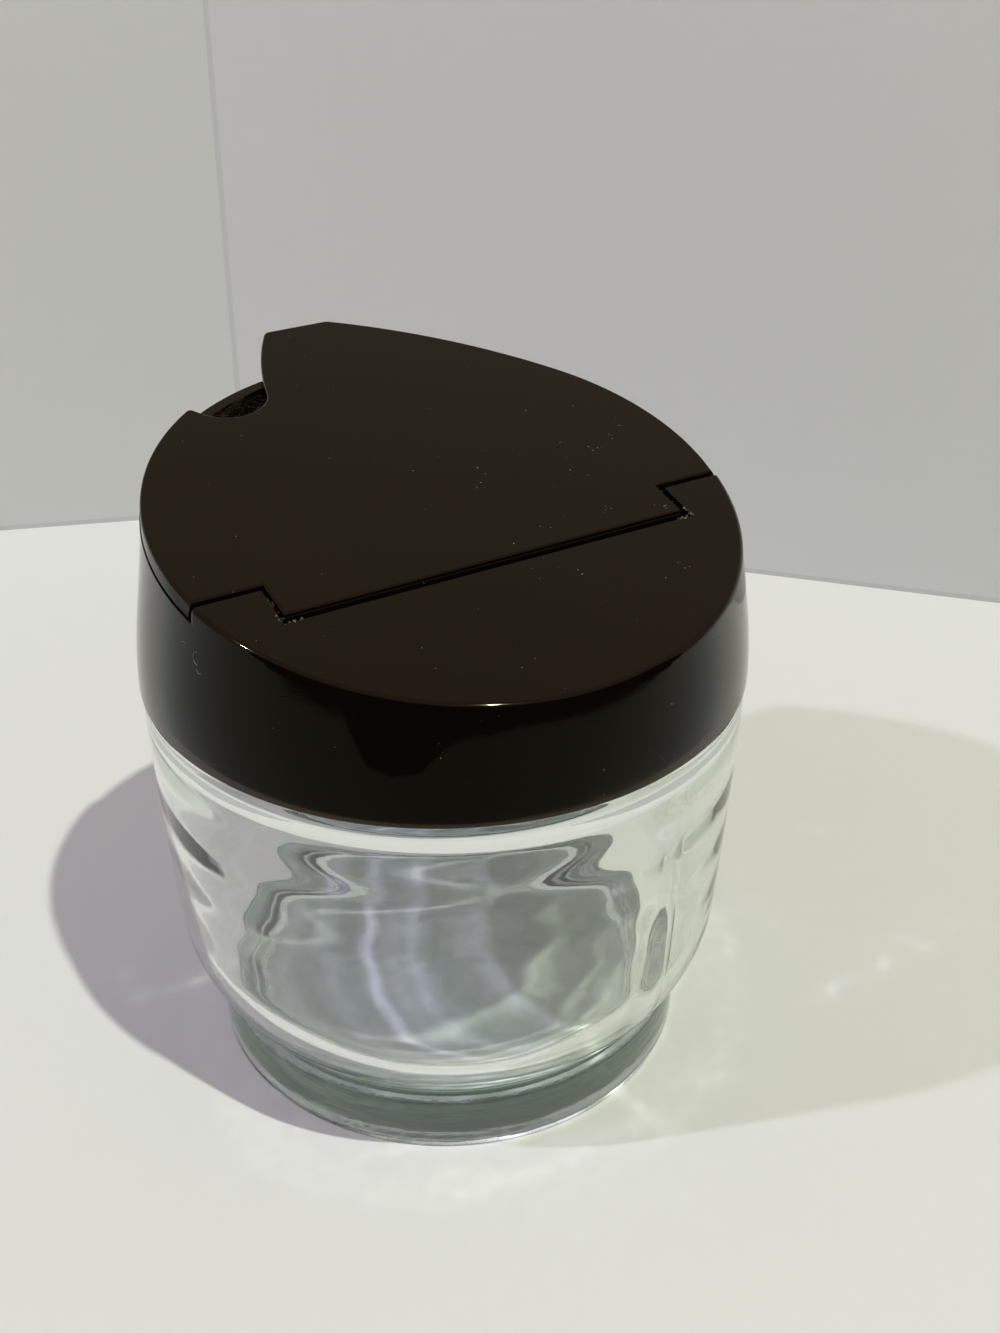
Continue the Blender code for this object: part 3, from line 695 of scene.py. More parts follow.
def plain(item, helpers=()):
    """Replace an object that has modifiers by one with a plain mesh, and remove its helpers."""
    shade_smooth(item)
    bpy.context.view_layer.update()
    graph = bpy.context.evaluated_depsgraph_get()
    mesh = bpy.data.meshes.new_from_object(item.evaluated_get(graph), preserve_all_data_layers=True,
                                           depsgraph=graph)
    name = item.name
    for used in (item, *helpers):
        bpy.data.objects.remove(used, do_unlink=True)
    mesh.name = name
    return linked(name, mesh)


def wall_radius(share_up):
    """Outer radius of the glass wall, from its lower corner (0) to its shoulder (1)."""
    rise = share_up * (1 + WALL_FULLNESS_SHARE) - share_up * share_up * WALL_FULLNESS_SHARE
    return WALL_LOW_RADIUS + WALL_TAPER * rise


def smooth_share(number):
    """Ease from 0 to 1."""
    number = max(0.0, min(1.0, number))
    return number * number * (3 - 2 * number)


def glass_outside():
    """The jar's outer section, from the middle of the push-up under the foot to the top of the lip."""
    wall_top = SHOULDER_HEIGHT - SHOULDER_ROUND
    wall_length = wall_top - CORNER_HEIGHT
    lean = atan(WALL_TAPER * (1 + WALL_FULLNESS_SHARE) / wall_length)
    centre = (WALL_LOW_RADIUS - CORNER_RADIUS * cos(lean), CORNER_HEIGHT + CORNER_RADIUS * sin(lean))
    start = -asin((centre[1] - FOOT_HEIGHT - FOOT_GROOVE_HEIGHT) / CORNER_RADIUS)
    bearing = FOOT_RADIUS - FOOT_LOWER_ROUND
    section = [(PUSH_UP_RADIUS * i / FLOOR_RINGS, PUSH_UP_HEIGHT) for i in range(1, FLOOR_RINGS)]
    for i in range(FLOOR_RINGS + 1):
        along = i / FLOOR_RINGS
        radius = PUSH_UP_RADIUS + (bearing - BEARING_WIDTH - PUSH_UP_RADIUS) * along
        section.append((radius, PUSH_UP_HEIGHT * (1 - smooth_share(along))))
    section += arc((bearing, FOOT_LOWER_ROUND), FOOT_LOWER_ROUND, -pi / 2, 0, GLASS_EDGE_FACETS)
    section += arc((FOOT_RADIUS - FOOT_UPPER_ROUND, FOOT_HEIGHT - FOOT_UPPER_ROUND), FOOT_UPPER_ROUND,
                   0, pi / 2, GLASS_EDGE_FACETS)
    corner = arc(centre, CORNER_RADIUS, start, -lean, GLASS_CORNER_FACETS)
    foot_end = Vector(section[-1])
    bend = Vector((foot_end.x - FOOT_GROOVE_DEPTH, foot_end.y + FOOT_GROOVE_HEIGHT / 3))
    for i in range(1, FOOT_GROOVE_FACETS):
        along = i / FOOT_GROOVE_FACETS
        point = foot_end * (1 - along) ** 2 + bend * 2 * along * (1 - along) + Vector(corner[0]) * along ** 2
        section.append(tuple(point))
    section += corner
    section += [(wall_radius(i / WALL_STEPS), CORNER_HEIGHT + wall_length * i / WALL_STEPS)
                for i in range(1, WALL_STEPS + 1)]
    section += arc((JAR_RADIUS - SHOULDER_ROUND, wall_top), SHOULDER_ROUND, 0, pi / 2, CORNER_FACETS)[1:]
    neck_straight = NECK_HEIGHT - LIP_ROUND
    steps = round(neck_straight / NECK_STEP)
    section += [(NECK_RADIUS, SHOULDER_HEIGHT + neck_straight * i / steps) for i in range(steps)]
    section += arc((NECK_RADIUS - LIP_ROUND, NECK_TOP - LIP_ROUND), LIP_ROUND, 0, pi / 2, GLASS_EDGE_FACETS)
    return section, centre, lean, wall_length


def glass_inside(wall, centre, lean, wall_length):
    """The jar's inner section, from the top of the lip down to the middle of its floor."""
    mouth_radius = NECK_RADIUS - NECK_WALL
    wall_top = SHOULDER_HEIGHT - INNER_SHOULDER_HEIGHT
    top_share = (wall_top - CORNER_HEIGHT) / wall_length
    high_radius = wall_radius(top_share) - wall
    section = arc((mouth_radius + LIP_ROUND, NECK_TOP - LIP_ROUND), LIP_ROUND, pi / 2, pi, GLASS_EDGE_FACETS)
    for i in range(INNER_SHOULDER_STEPS + 1):
        down = i / INNER_SHOULDER_STEPS
        blend = (1 + cos(pi * down)) / 2
        height = SHOULDER_HEIGHT + wall - (INNER_SHOULDER_HEIGHT + wall) * down
        section.append((high_radius + (mouth_radius - high_radius) * blend, height))
    for i in range(1, WALL_STEPS):
        share_up = top_share * (1 - i / WALL_STEPS)
        section.append((wall_radius(share_up) - wall, CORNER_HEIGHT + wall_length * share_up))
    section += arc(centre, CORNER_RADIUS - wall, -lean, -pi / 2, GLASS_CORNER_FACETS)
    floor_radius, floor_height = section[-1]
    section += [(floor_radius * (1 - i / FLOOR_RINGS), floor_height) for i in range(1, FLOOR_RINGS)]
    return section


def thread_lift(angle, height):
    """How far the screw thread stands out of the neck at a place."""
    lift = 0.0
    sweep = 2 * pi * NECK_THREAD_TURNS
    for lap in (0, 1):
        turn = (angle - NECK_THREAD_START) % (2 * pi) + 2 * pi * lap
        if turn > sweep:
            continue
        full = smooth_share(min(turn, sweep - turn) / THREAD_RUN_OUT)
        away = abs(height - NECK_THREAD_HEIGHT - THREAD_PITCH * turn / (2 * pi))
        flank = smooth_share((THREAD_ROOT_WIDTH / 2 - away) / FLANK_RUN)
        lift = max(lift, THREAD_DEPTH * full * flank)
    return lift


def seam_lift(angle, seam):
    """How far the mould seams stand out at an angle."""
    away = min(abs((angle - place + pi) % (2 * pi) - pi) for place in SEAM_ANGLES)
    return seam * smooth_share(1 - away / SEAM_OFFSETS[-1])


def zone_share(height, start, rise, end, fall):
    """How fully a kind of wave stands out at a height, fading towards both ends of its zone."""
    return smooth_share((height - start) / rise) * smooth_share((NECK_TOP - end - height) / fall)


def wall_ripple(angle, height, ripple):
    """Pressing waves of the inner wall: rings that fade downwards, broad lobes, and a swell by each seam."""
    rings = sin(height / RING_LENGTH + RING_SWAY * sin(2 * angle + RING_SWAY_START))
    rings += BROAD_RING_SHARE * sin(height / BROAD_RING_LENGTH + BROAD_RING_START)
    lobes = sum(part * sin(count * angle + start + height / twist) for part, count, start, twist in LOBES)
    swell = sum(exp(-((angle - seam + SWELL_BACK) / SWELL_SPREAD) ** 2) for seam in SEAM_ANGLES)
    swell *= exp(-((height - SWELL_HEIGHT) / SWELL_TALLNESS) ** 2)
    return ripple * (zone_share(height, *RING_ZONE) * rings + zone_share(height, *LOBE_ZONE) * lobes
                     + SWELL_WAVES * swell)


def glass_angles():
    """Angles round the jar, with extra ones at the mould seams."""
    angles = even_angles()
    for place in SEAM_ANGLES:
        angles = [a for a in angles if abs(a - place) > SEAM_OFFSETS[-1] * SEAM_ROOM]
        angles += [place + side * offset for offset in SEAM_OFFSETS for side in (-1, 1)] + [place]
    return sorted(angles)


def make_glass(settings):
    """The jar with its thread, seams and pressing waves, as one closed mesh."""
    outside, centre, lean, wall_length = glass_outside()
    angles = glass_angles()
    rings = []
    for radius, height in outside:
        on_neck = SHOULDER_HEIGHT < height < NECK_TOP - LIP_ROUND and radius > NECK_RADIUS - LIP_ROUND
        on_wall = FOOT_HEIGHT < height < SHOULDER_HEIGHT - SHOULDER_ROUND
        rings.append([(angle, radius + on_neck * thread_lift(angle, height)
                       + on_wall * seam_lift(angle, settings.seam), height) for angle in angles])
    for radius, height in glass_inside(settings.wall, centre, lean, wall_length):
        waved = radius > centre[0] and height < NECK_TOP - LIP_ROUND
        rings.append([(angle, radius + waved * wall_ripple(angle, height, settings.ripple), height)
                      for angle in angles])
    bm = skinned([[(radius * cos(angle), radius * sin(angle), height) for angle, radius, height in ring]
                  for ring in rings])
    bmesh.ops.remove_doubles(bm, verts=bm.verts, dist=0.001 * MM)
    bmesh.ops.poke(bm, faces=[face for face in bm.faces if len(face.verts) > 4])
    glass = mesh_object("jar_body", bm, glass_material(settings))
    shade_smooth(glass)
    return glass


def new_tree(name, **inputs):
    """The graph of a new geometry tree, and its inputs as values, from the labels of each kind of input."""
    tree = bpy.data.node_groups.new(name, 'GeometryNodeTree')
    for kind, labels in {"Geometry": ("Geometry",), **inputs, "Material": ("Material",)}.items():
        for label in labels:
            tree.interface.new_socket(label, in_out='INPUT', socket_type='NodeSocket' + kind)
    tree.interface.new_socket("Geometry", in_out='OUTPUT', socket_type='NodeSocketGeometry')
    graph = Graph(tree)
    source = tree.nodes.new('NodeGroupInput')
    return graph, {socket.name: Value(graph, socket) for socket in source.outputs if socket.name}


def end_tree(graph, geometry, material):
    """Make instances real, give the mesh its material, and end the tree."""
    real = graph.step('RealizeInstances', {0: geometry})
    dressed = graph.step('SetMaterial', {"Geometry": real, "Material": material})
    graph.feed(graph.tree.nodes.new('NodeGroupOutput'), {0: dressed})
    return graph.tree


def grown(name, tree, settings, bm=None):
    """An object whose mesh a geometry tree makes, over the faces or edges of a bmesh where it needs them."""
    item = mesh_object(name, bmesh.new() if bm is None else bm)
    step = item.modifiers.new(tree.name, 'NODES')
    step.node_group = tree
    for socket in tree.interface.items_tree:
        if socket.in_out == 'INPUT' and socket.name in settings:
            step[socket.identifier] = settings[socket.name]
    return plain(item)


def liner_tree():
    """A flat ring with rounded edges, swept round a circle."""
    graph, value = new_tree("liner ring", Int=("Facets",), Float=(
        "Inner radius", "Outer radius", "Bottom", "Top", "Edge"))
    middle = (value["Inner radius"] + value["Outer radius"]) * 0.5
    circle = graph.step('CurvePrimitiveCircle', {"Resolution": value["Facets"], "Radius": middle})
    lift = graph.add('ShaderNodeCombineXYZ', None, {"Z": (value["Bottom"] + value["Top"]) * 0.5})
    raised = graph.step('SetPosition', {"Geometry": circle, "Offset": lift})
    upright = graph.step('SetCurveNormal', {"Curve": raised}, mode='Z_UP')
    section = graph.step('CurvePrimitiveQuadrilateral', {
        "Width": value["Outer radius"] - value["Inner radius"], "Height": value["Top"] - value["Bottom"]})
    rounded = graph.step('FilletCurve', {"Curve": section, "Radius": value["Edge"], "Count": LINER_EDGE_FACETS},
                         mode='POLY')
    swept = graph.step('CurveToMesh', {"Curve": upright, "Profile Curve": rounded})
    return end_tree(graph, graph.step('SetShadeSmooth', {"Geometry": swept}), value["Material"])


def make_seal(settings):
    """The liner ring between the glass lip and the cap's ledge."""
    return grown("liner_ring", liner_tree(), {
        "Inner radius": NECK_RADIUS - NECK_WALL + SEAT_GAP, "Outer radius": SEAL_HIGH.x,
        "Bottom": SEAL_LOW.z, "Top": SEAL_HIGH.z, "Edge": settings.edge, "Facets": TURN_FACETS,
        "Material": foam_material(settings)})


def ridge_tree():
    """A helical ridge of trapezoid section that runs out at both ends."""
    graph, value = new_tree("thread ridge", Int=("Steps",), Float=(
        "Root radius", "Pitch", "Turns", "Start angle", "Start height", "Depth", "Root width", "Crest width",
        "Run-out share"))
    path = graph.step('ResampleCurve', {"Curve": graph.step('CurvePrimitiveLine'), "Count": value["Steps"]})
    along = graph.step('SplineParameter')
    laps = along * value["Turns"]
    turn = value["Start angle"] + laps * (2 * pi)
    place = graph.add('ShaderNodeCombineXYZ', None, {
        "X": value["Root radius"] * turn.join('COSINE', turn),
        "Y": value["Root radius"] * turn.join('SINE', turn),
        "Z": value["Start height"] + value["Pitch"] * laps})
    helix = graph.step('SetPosition', {"Geometry": path, "Position": place})
    ends = along.least(1.0 - along) / value["Run-out share"]
    thick = graph.step('SetCurveRadius', {"Curve": helix, "Radius": ends.fade(0.0, 1.0, THREAD_END_SHARE, 1.0)})
    upright = graph.step('SetCurveNormal', {"Curve": thick}, mode='Z_UP')
    section = graph.step('CurvePrimitiveQuadrilateral', {
        "Height": value["Depth"], "Bottom Width": value["Root width"], "Top Width": value["Crest width"],
        "Offset": 0.0}, mode='TRAPEZOID')
    half = graph.add('ShaderNodeCombineXYZ', None, {"Y": value["Depth"] * 0.5})
    seated = graph.step('Transform', {"Geometry": section, "Translation": half})
    turned_in = graph.step('Transform', {"Geometry": seated, "Rotation": (0.0, 0.0, pi / 2)})
    swept = graph.step('CurveToMesh', {"Curve": upright, "Profile Curve": turned_in, "Fill Caps": True})
    return end_tree(graph, swept, value["Material"])


def cap_thread(material):
    """The ridge inside the cap that runs under the one on the neck."""
    start_lap = (CAP_THREAD_START - NECK_THREAD_START) / (2 * pi)
    depth = THREAD_DEPTH + WELD_OVERLAP
    return grown("cap_thread", ridge_tree(), {
        "Root radius": CAP_BORE_RADIUS + WELD_OVERLAP, "Pitch": THREAD_PITCH, "Turns": CAP_THREAD_TURNS,
        "Start angle": CAP_THREAD_START,
        "Start height": NECK_THREAD_HEIGHT - THREAD_OFFSET + THREAD_PITCH * start_lap,
        "Depth": depth, "Root width": THREAD_CREST_WIDTH + 2 * FLANK_RUN * depth / THREAD_DEPTH,
        "Crest width": THREAD_CREST_WIDTH, "Run-out share": THREAD_RUN_OUT / (2 * pi * CAP_THREAD_TURNS),
        "Steps": round(TURN_FACETS * CAP_THREAD_TURNS), "Material": material})


def top_height(y, depth=0.0):
    """Height of the slanted top above the floor, or of a face that lies the given depth below it."""
    return TOP_MID_HEIGHT - y * tan(TOP_SLOPE) - depth


def skirt_radius(height):
    """Outer radius of the cap's skirt at a height above the floor."""
    return CAP_RIM_RADIUS - CAP_TAPER * smooth_share((height - CAP_RIM_HEIGHT) / TAPER_TOP_HEIGHT)


def slanted_ring(angles, depth, inset):
    """A ring inside the skirt's outer face by the inset, the given depth below the slanted top."""
    ring = []
    for angle in angles:
        radius = CAP_TOP_RADIUS
        for _ in range(FIT_ROUNDS):
            radius = skirt_radius(top_height(radius * sin(angle), depth))
        y = (radius - inset) * sin(angle)
        ring.append(((radius - inset) * cos(angle), y, top_height(y, depth)))
    return ring


def cap_outer_body(edge):
    """The cap's outer form as one solid: tapered skirt and slanted top with a rounded edge."""
    angles = even_angles()
    low = CAP_RIM_HEIGHT + CAP_RIM_ROUND
    rings = [level_ring(angles, CAP_RIM_RADIUS - CAP_RIM_ROUND, CAP_RIM_HEIGHT),
             level_ring(angles, CAP_RIM_RADIUS, low)]
    for step in range(1, SKIRT_STEPS):
        ring = []
        for angle in angles:
            height = low + (top_height(CAP_TOP_RADIUS * sin(angle), edge) - low) * step / SKIRT_STEPS
            radius = skirt_radius(height)
            ring.append((radius * cos(angle), radius * sin(angle), height))
        rings.append(ring)
    for step in range(EDGE_FACETS + 1):
        turn = pi / 2 * step / EDGE_FACETS
        rings.append(slanted_ring(angles, edge * (1 - sin(turn)), edge * (1 - cos(turn))))
    return skinned(rings)


def prism(outline, bottom, top):
    """A body over a plan outline, between two faces given as heights that may depend on y."""
    return skinned([[(x, y, face(y)) for x, y in outline] for face in (bottom, top)])


def level(height):
    """A flat face at one height."""
    return lambda y: height


def slanted(depth):
    """A face that lies the given depth below the slanted top."""
    return lambda y: top_height(y, depth)


def upper_room():
    """The room over the ledge and under the top plate, which steps in round the two ear blocks."""
    radius = UPPER_BORE_RADIUS
    front = EAR_FRONT + EAR_BLOCK_SETBACK
    inner = EAR_INNER + EAR_BLOCK_SETBACK
    rear = EAR_FRONT + EAR_BLOCK_LENGTH
    right = round_axis(radius, -pi / 2, asin(front / radius), RIM_FACETS)
    right += [(inner, front), (inner, rear)]
    right += round_axis(radius, asin(rear / radius), asin(ROOM_REAR / radius), CORNER_FACETS)
    left = [(-x, y) for x, y in reversed(right[1:])]
    return prism(right + left, level(LEDGE_TOP), slanted(PLATE_THICKNESS))


def lower_room():
    """The room for the glass neck: rim recess, threaded bore and the hole through the ledge."""
    recess_radius = CAP_RIM_RADIUS - RIM_WALL
    recess_top = CAP_RIM_HEIGHT + RIM_RECESS_HEIGHT
    return turned([(recess_radius, CAP_RIM_HEIGHT - CUT_OVERRUN), (recess_radius, recess_top),
                   (CAP_BORE_RADIUS, recess_top), (CAP_BORE_RADIUS, LEDGE_BOTTOM),
                   (LEDGE_RADIUS, LEDGE_BOTTOM), (LEDGE_RADIUS, LEDGE_TOP + WELD_OVERLAP)])


def flap_bay():
    """What the flap takes out of the cap: the whole front of the top, and the slot for its tail."""
    side = CAP_RIM_RADIUS + CUT_OVERRUN
    outline = [(side, EAR_FRONT), (EAR_INNER, EAR_FRONT), (EAR_INNER, GROOVE_REAR),
               (-EAR_INNER, GROOVE_REAR), (-EAR_INNER, EAR_FRONT), (-side, EAR_FRONT),
               (-side, -side), (side, -side)]
    return prism(outline, slanted(RIM_DEPTH), slanted(-CUT_OVERRUN))


def along_hinge(section, ends):
    """A body along the hinge line, between two ends, whose section is given as (y, z)."""
    return skinned([[(x, y, z) for y, z in section] for x in ends])


def cross_rod(radius, ends, facets):
    """A round rod along the hinge line."""
    return along_hinge(arc((HINGE_LINE, HINGE_HEIGHT), radius, 0, 2 * pi, facets)[:-1], ends)


def make_cap(settings):
    """The cap: skirt, fixed rear top, ears with their pin holes, ledge and thread in one moulding."""
    material = plastic_material("brown cap plastic", settings)
    cap = mesh_object("cap_moulding", cap_outer_body(settings.edge), material)
    cuts = [("upper_room", upper_room()), ("lower_room", lower_room()), ("flap_bay", flap_bay())]
    for side in (-1, 1):
        ends = (side * (EAR_INNER - CUT_OVERRUN), side * (EAR_INNER + PIN_LENGTH))
        cuts.append(("pin_hole", cross_rod(PIN_RADIUS + SEAT_GAP, ends, HOLE_FACETS)))
    helpers = [boolean(cap, mesh_object(name, body), 'DIFFERENCE') for name, body in cuts]
    helpers.append(boolean(cap, cap_thread(material), 'UNION'))
    soften(cap, settings.softening)
    return plain(cap, helpers)


def round_corner(before, corner, after, radius):
    """Replace a corner of an outline with an arc that touches both its sides."""
    back = (Vector(before) - Vector(corner)).normalized()
    ahead = (Vector(after) - Vector(corner)).normalized()
    half = back.angle(ahead) / 2
    centre = Vector(corner) + (back + ahead).normalized() * (radius / sin(half))
    spoke = Vector(corner) + back * (radius / tan(half)) - centre
    turn = pi - 2 * half
    if back.x * ahead.y - back.y * ahead.x > 0:
        turn = -turn
    start = atan2(spoke.y, spoke.x)
    return arc(centre, radius, start, start + turn, CORNER_FACETS)


def tangent_arc(start, heading, end, facets):
    """Points of the arc that leaves the start along a heading and ends at a point."""
    chord = Vector(end) - Vector(start)
    turn = 2 * (atan2(chord.y, chord.x) - heading)
    radius = chord.length / (2 * sin(turn / 2))
    centre = (start[0] - radius * sin(heading), start[1] + radius * cos(heading))
    first = heading - pi / 2
    return arc(centre, radius, first, first + turn, facets)


def notch_place():
    """Middle of the spoon notch as (x, distance ahead of the axis)."""
    return (NOTCH_DISTANCE * sin(NOTCH_ANGLE), NOTCH_DISTANCE * cos(NOTCH_ANGLE))


def flap_outline():
    """The flap in plan as (x, distance ahead of the axis), starting at its right rear corner."""
    side_x = sqrt(FLAP_RADIUS ** 2 - FLAP_REAR ** 2)
    notch = notch_place()
    half_span = acos((FLAP_RADIUS ** 2 + NOTCH_DISTANCE ** 2 - NOTCH_RADIUS ** 2)
                     / (2 * FLAP_RADIUS * NOTCH_DISTANCE))
    rim_end = pi / 2 - NOTCH_ANGLE - half_span
    rim_corner = (FLAP_RADIUS * cos(rim_end), FLAP_RADIUS * sin(rim_end))
    rear_angle = atan2(-FLAP_REAR, side_x)

    right_rim = round_axis(FLAP_RADIUS, rear_angle, rim_end, RIM_FACETS // 2)
    notch_start = atan2(rim_corner[1] - notch[1], rim_corner[0] - notch[0])
    notch_curve = arc(notch, NOTCH_RADIUS, notch_start, NOTCH_LEAN - pi, NOTCH_FACETS)
    notch_corner = round_corner(right_rim[-2], rim_corner, notch_curve[1], NOTCH_CORNER_ROUND)
    right_rim = [p for p in right_rim if atan2(p[1], p[0]) < atan2(notch_corner[0][1], notch_corner[0][0])]
    corner_end = Vector(notch_corner[-1]) - Vector(notch)
    notch_curve = [p for p in notch_curve
                   if (Vector(p) - Vector(notch)).angle_signed(corner_end, 0.0) < 0 or p == notch_curve[-1]]
    beak_tip = (BEAK_NOTCH_SIDE_X, BEAK_REACH)
    beak_notch_side = tangent_arc(notch_curve[-1], pi / 2 + NOTCH_LEAN, beak_tip, BEAK_FACETS)
    long_tip = (-BEAK_LONG_SIDE_X, BEAK_REACH)
    tip_corner = round_corner(beak_notch_side[-2], beak_tip, long_tip, BEAK_NOTCH_ROUND)
    beak_notch_side = [p for p in beak_notch_side if p[1] < tip_corner[0][1]]

    side_start = pi - BEAK_SIDE_TANGENT
    offset = BEAK_SIDE_RADIUS - FLAP_RADIUS
    side_centre = (-offset * cos(side_start), -offset * sin(side_start))
    side_end = pi - acos((long_tip[0] - side_centre[0]) / -BEAK_SIDE_RADIUS)
    long_end = (long_tip[0], side_centre[1] + BEAK_SIDE_RADIUS * sin(side_end))
    beak_long_side = arc(side_centre, BEAK_SIDE_RADIUS, side_end, side_start, BEAK_FACETS)
    front_tip = (long_tip[0], long_end[1])
    long_corner = round_corner(beak_tip, front_tip, beak_long_side[1], BEAK_LONG_ROUND)
    beak_long_side = [p for p in beak_long_side if p[0] < long_corner[-1][0]]
    left_rim = round_axis(FLAP_RADIUS, side_start, pi - rear_angle, RIM_FACETS // 2)

    outline = right_rim + notch_corner + notch_curve[:-1] + beak_notch_side
    outline += tip_corner + long_corner + beak_long_side[:-1] + left_rim
    outline += [(-TAIL_HALF_WIDTH, -FLAP_REAR), (-TAIL_HALF_WIDTH, -TAIL_REAR),
                (TAIL_HALF_WIDTH, -TAIL_REAR), (TAIL_HALF_WIDTH, -FLAP_REAR)]
    return [(x, -ahead) for x, ahead in outline]


def inset_outline(outline, distance):
    """Move every side of a clockwise outline inwards by the distance, keeping its corners."""
    moved = []
    count = len(outline)
    for i, point in enumerate(outline):
        before = Vector(outline[i - 1])
        here = Vector(point)
        after = Vector(outline[(i + 1) % count])
        first = (here - before).normalized()
        second = (after - here).normalized()
        normal = Vector((first.y + second.y, -first.x - second.x)).normalized()
        stretch = normal.dot(Vector((first.y, -first.x)))
        moved.append(tuple(here + normal * (distance / stretch)))
    return moved


def leaned(x, y, depth):
    """A point of the flap's outline at a depth, where its round side leans out to meet the skirt."""
    radius = hypot(x, y)
    if radius > FLAP_RADIUS - RIM_TOLERANCE:
        reach = skirt_radius(top_height(y, FLAP_THICKNESS)) - CAP_TOP_RADIUS
        stretch = 1 + reach * depth / FLAP_THICKNESS / radius
        x, y = x * stretch, y * stretch
    return x, y, top_height(y, depth)


def flap_plate(edge):
    """The flap's plate with its upper edge rounded."""
    outline = flap_outline()
    rings = [[leaned(x, y, FLAP_THICKNESS) for x, y in outline]]
    rings.append([leaned(x, y, edge) for x, y in outline])
    for step in range(1, EDGE_FACETS + 1):
        turn = pi / 2 * step / EDGE_FACETS
        moved = inset_outline(outline, edge * (1 - cos(turn)))
        depth = edge * (1 - sin(turn))
        rings.append([(x, y, top_height(y, depth)) for x, y in moved])
    return skinned(rings)


def hinge_barrel():
    """The rounded nose along the flap's tail, centred on the hinge line and flat under the top face."""
    half_turn = acos((HINGE_DEPTH - WELD_OVERLAP) / BARREL_RADIUS)
    upward = pi / 2 - TOP_SLOPE
    section = arc((HINGE_LINE, HINGE_HEIGHT), BARREL_RADIUS, upward - half_turn,
                  upward + half_turn - 2 * pi, BARREL_FACETS)
    return along_hinge(section, (-TAIL_HALF_WIDTH, TAIL_HALF_WIDTH))


def locating_rib():
    """The low rib under the flap that drops inside the skirt and steps in round the notch."""
    rim = UPPER_BORE_RADIUS - RIB_CLEARANCE - RIB_THICKNESS / 2
    detour = NOTCH_RADIUS + RIB_CLEARANCE + RIB_THICKNESS
    notch = notch_place()
    half_span = acos((rim ** 2 + NOTCH_DISTANCE ** 2 - detour ** 2) / (2 * rim * NOTCH_DISTANCE))
    middle = pi / 2 - NOTCH_ANGLE
    rear = asin(-(FLAP_REAR - RIB_THICKNESS) / rim)
    first = (rim * cos(middle - half_span), rim * sin(middle - half_span))
    second = (rim * cos(middle + half_span), rim * sin(middle + half_span))
    start = atan2(first[1] - notch[1], first[0] - notch[0])
    end = atan2(second[1] - notch[1], second[0] - notch[0]) - 2 * pi
    path = round_axis(rim, rear, middle - half_span, RIM_FACETS // 2)
    path += arc(notch, detour, start, end, NOTCH_FACETS)[1:]
    path += round_axis(rim, middle + half_span, pi - rear, RIM_FACETS)[1:]
    sides = ([], [])
    for i, point in enumerate(path):
        before = Vector(path[max(i - 1, 0)])
        after = Vector(path[min(i + 1, len(path) - 1)])
        along = (after - before).normalized()
        across = Vector((-along.y, along.x)) * (RIB_THICKNESS / 2)
        sides[0].append(Vector(point) + across)
        sides[1].append(Vector(point) - across)
    outline = [(p.x, -p.y) for p in sides[0] + sides[1][::-1]]
    return prism(outline, slanted(FLAP_THICKNESS + RIB_HEIGHT), slanted(FLAP_THICKNESS - WELD_OVERLAP))


def make_flap(settings):
    """The flap with its barrel, pins and locating rib."""
    material = plastic_material("brown flap plastic", settings, FLAP_LIGHTER)
    flap = mesh_object("flap_moulding", flap_plate(settings.flap_edge), material)
    parts = [("hinge_barrel", hinge_barrel()), ("locating_rib", locating_rib())]
    for side in (-1, 1):
        ends = (side * (TAIL_HALF_WIDTH - CUT_OVERRUN),
                side * (TAIL_HALF_WIDTH + TAIL_SIDE_GAP + PIN_LENGTH - SEAT_GAP))
        parts.append(("hinge_pin", cross_rod(PIN_RADIUS, ends, PIN_FACETS)))
    helpers = [boolean(flap, mesh_object(name, body), 'UNION') for name, body in parts]
    soften(flap, settings.softening)
    return plain(flap, helpers)


def scatter_tree():
    """Small rough lumps scattered over faces."""
    graph, value = new_tree("scattered lumps", Float=("Density", "Size"), Int=("Seed",))
    points = graph.step('DistributePointsOnFaces', {
        "Mesh": value["Geometry"], "Density": value["Density"], "Seed": value["Seed"]})
    lump = graph.step('MeshIcoSphere', {"Radius": value["Size"], "Subdivisions": LUMP_SUBDIVISIONS})
    wobble = graph.add('ShaderNodeTexNoise', None, {"Scale": LUMP_WAVES}, output="Color")
    shift = graph.add('ShaderNodeVectorMath', {"operation": 'SUBTRACT'}, {0: wobble, 1: (0.5, 0.5, 0.5)})
    offset = graph.add('ShaderNodeVectorMath', {"operation": 'SCALE'},
                       {0: shift, "Scale": value["Size"] * LUMP_ROUGHNESS})
    rough = graph.step('SetPosition', {"Geometry": lump, "Offset": offset})
    turn = graph.add('FunctionNodeRandomValue', {"data_type": 'FLOAT_VECTOR'},
                     {1: (2 * pi, 2 * pi, 2 * pi), 8: value["Seed"]})
    growth = graph.add('FunctionNodeRandomValue', {"data_type": 'FLOAT'},
                       {2: LUMP_GROWTH[0], 3: LUMP_GROWTH[1], 8: value["Seed"] + 1}, output=1)
    lumps = graph.step('InstanceOnPoints', {"Points": points, "Instance": rough, "Rotation": turn,
                                            "Scale": growth})
    return end_tree(graph, lumps, value["Material"])


def fibre_tree():
    """A thin round fibre along each open path."""
    graph, value = new_tree("fibre", Float=("Thickness",))
    path = graph.step('MeshToCurve', {0: value["Geometry"]})
    section = graph.step('CurvePrimitiveCircle', {"Resolution": FIBRE_FACETS,
                                                  "Radius": value["Thickness"] * 0.5})
    swept = graph.step('CurveToMesh', {"Curve": path, "Profile Curve": section, "Fill Caps": True})
    return end_tree(graph, graph.step('SetShadeSmooth', {0: swept}), value["Material"])


def top_patch(outline):
    """A flat patch of the slanted top over a plan outline."""
    bm = bmesh.new()
    bm.faces.new([bm.verts.new((x, y, top_height(y))) for x, y in outline])
    return bm


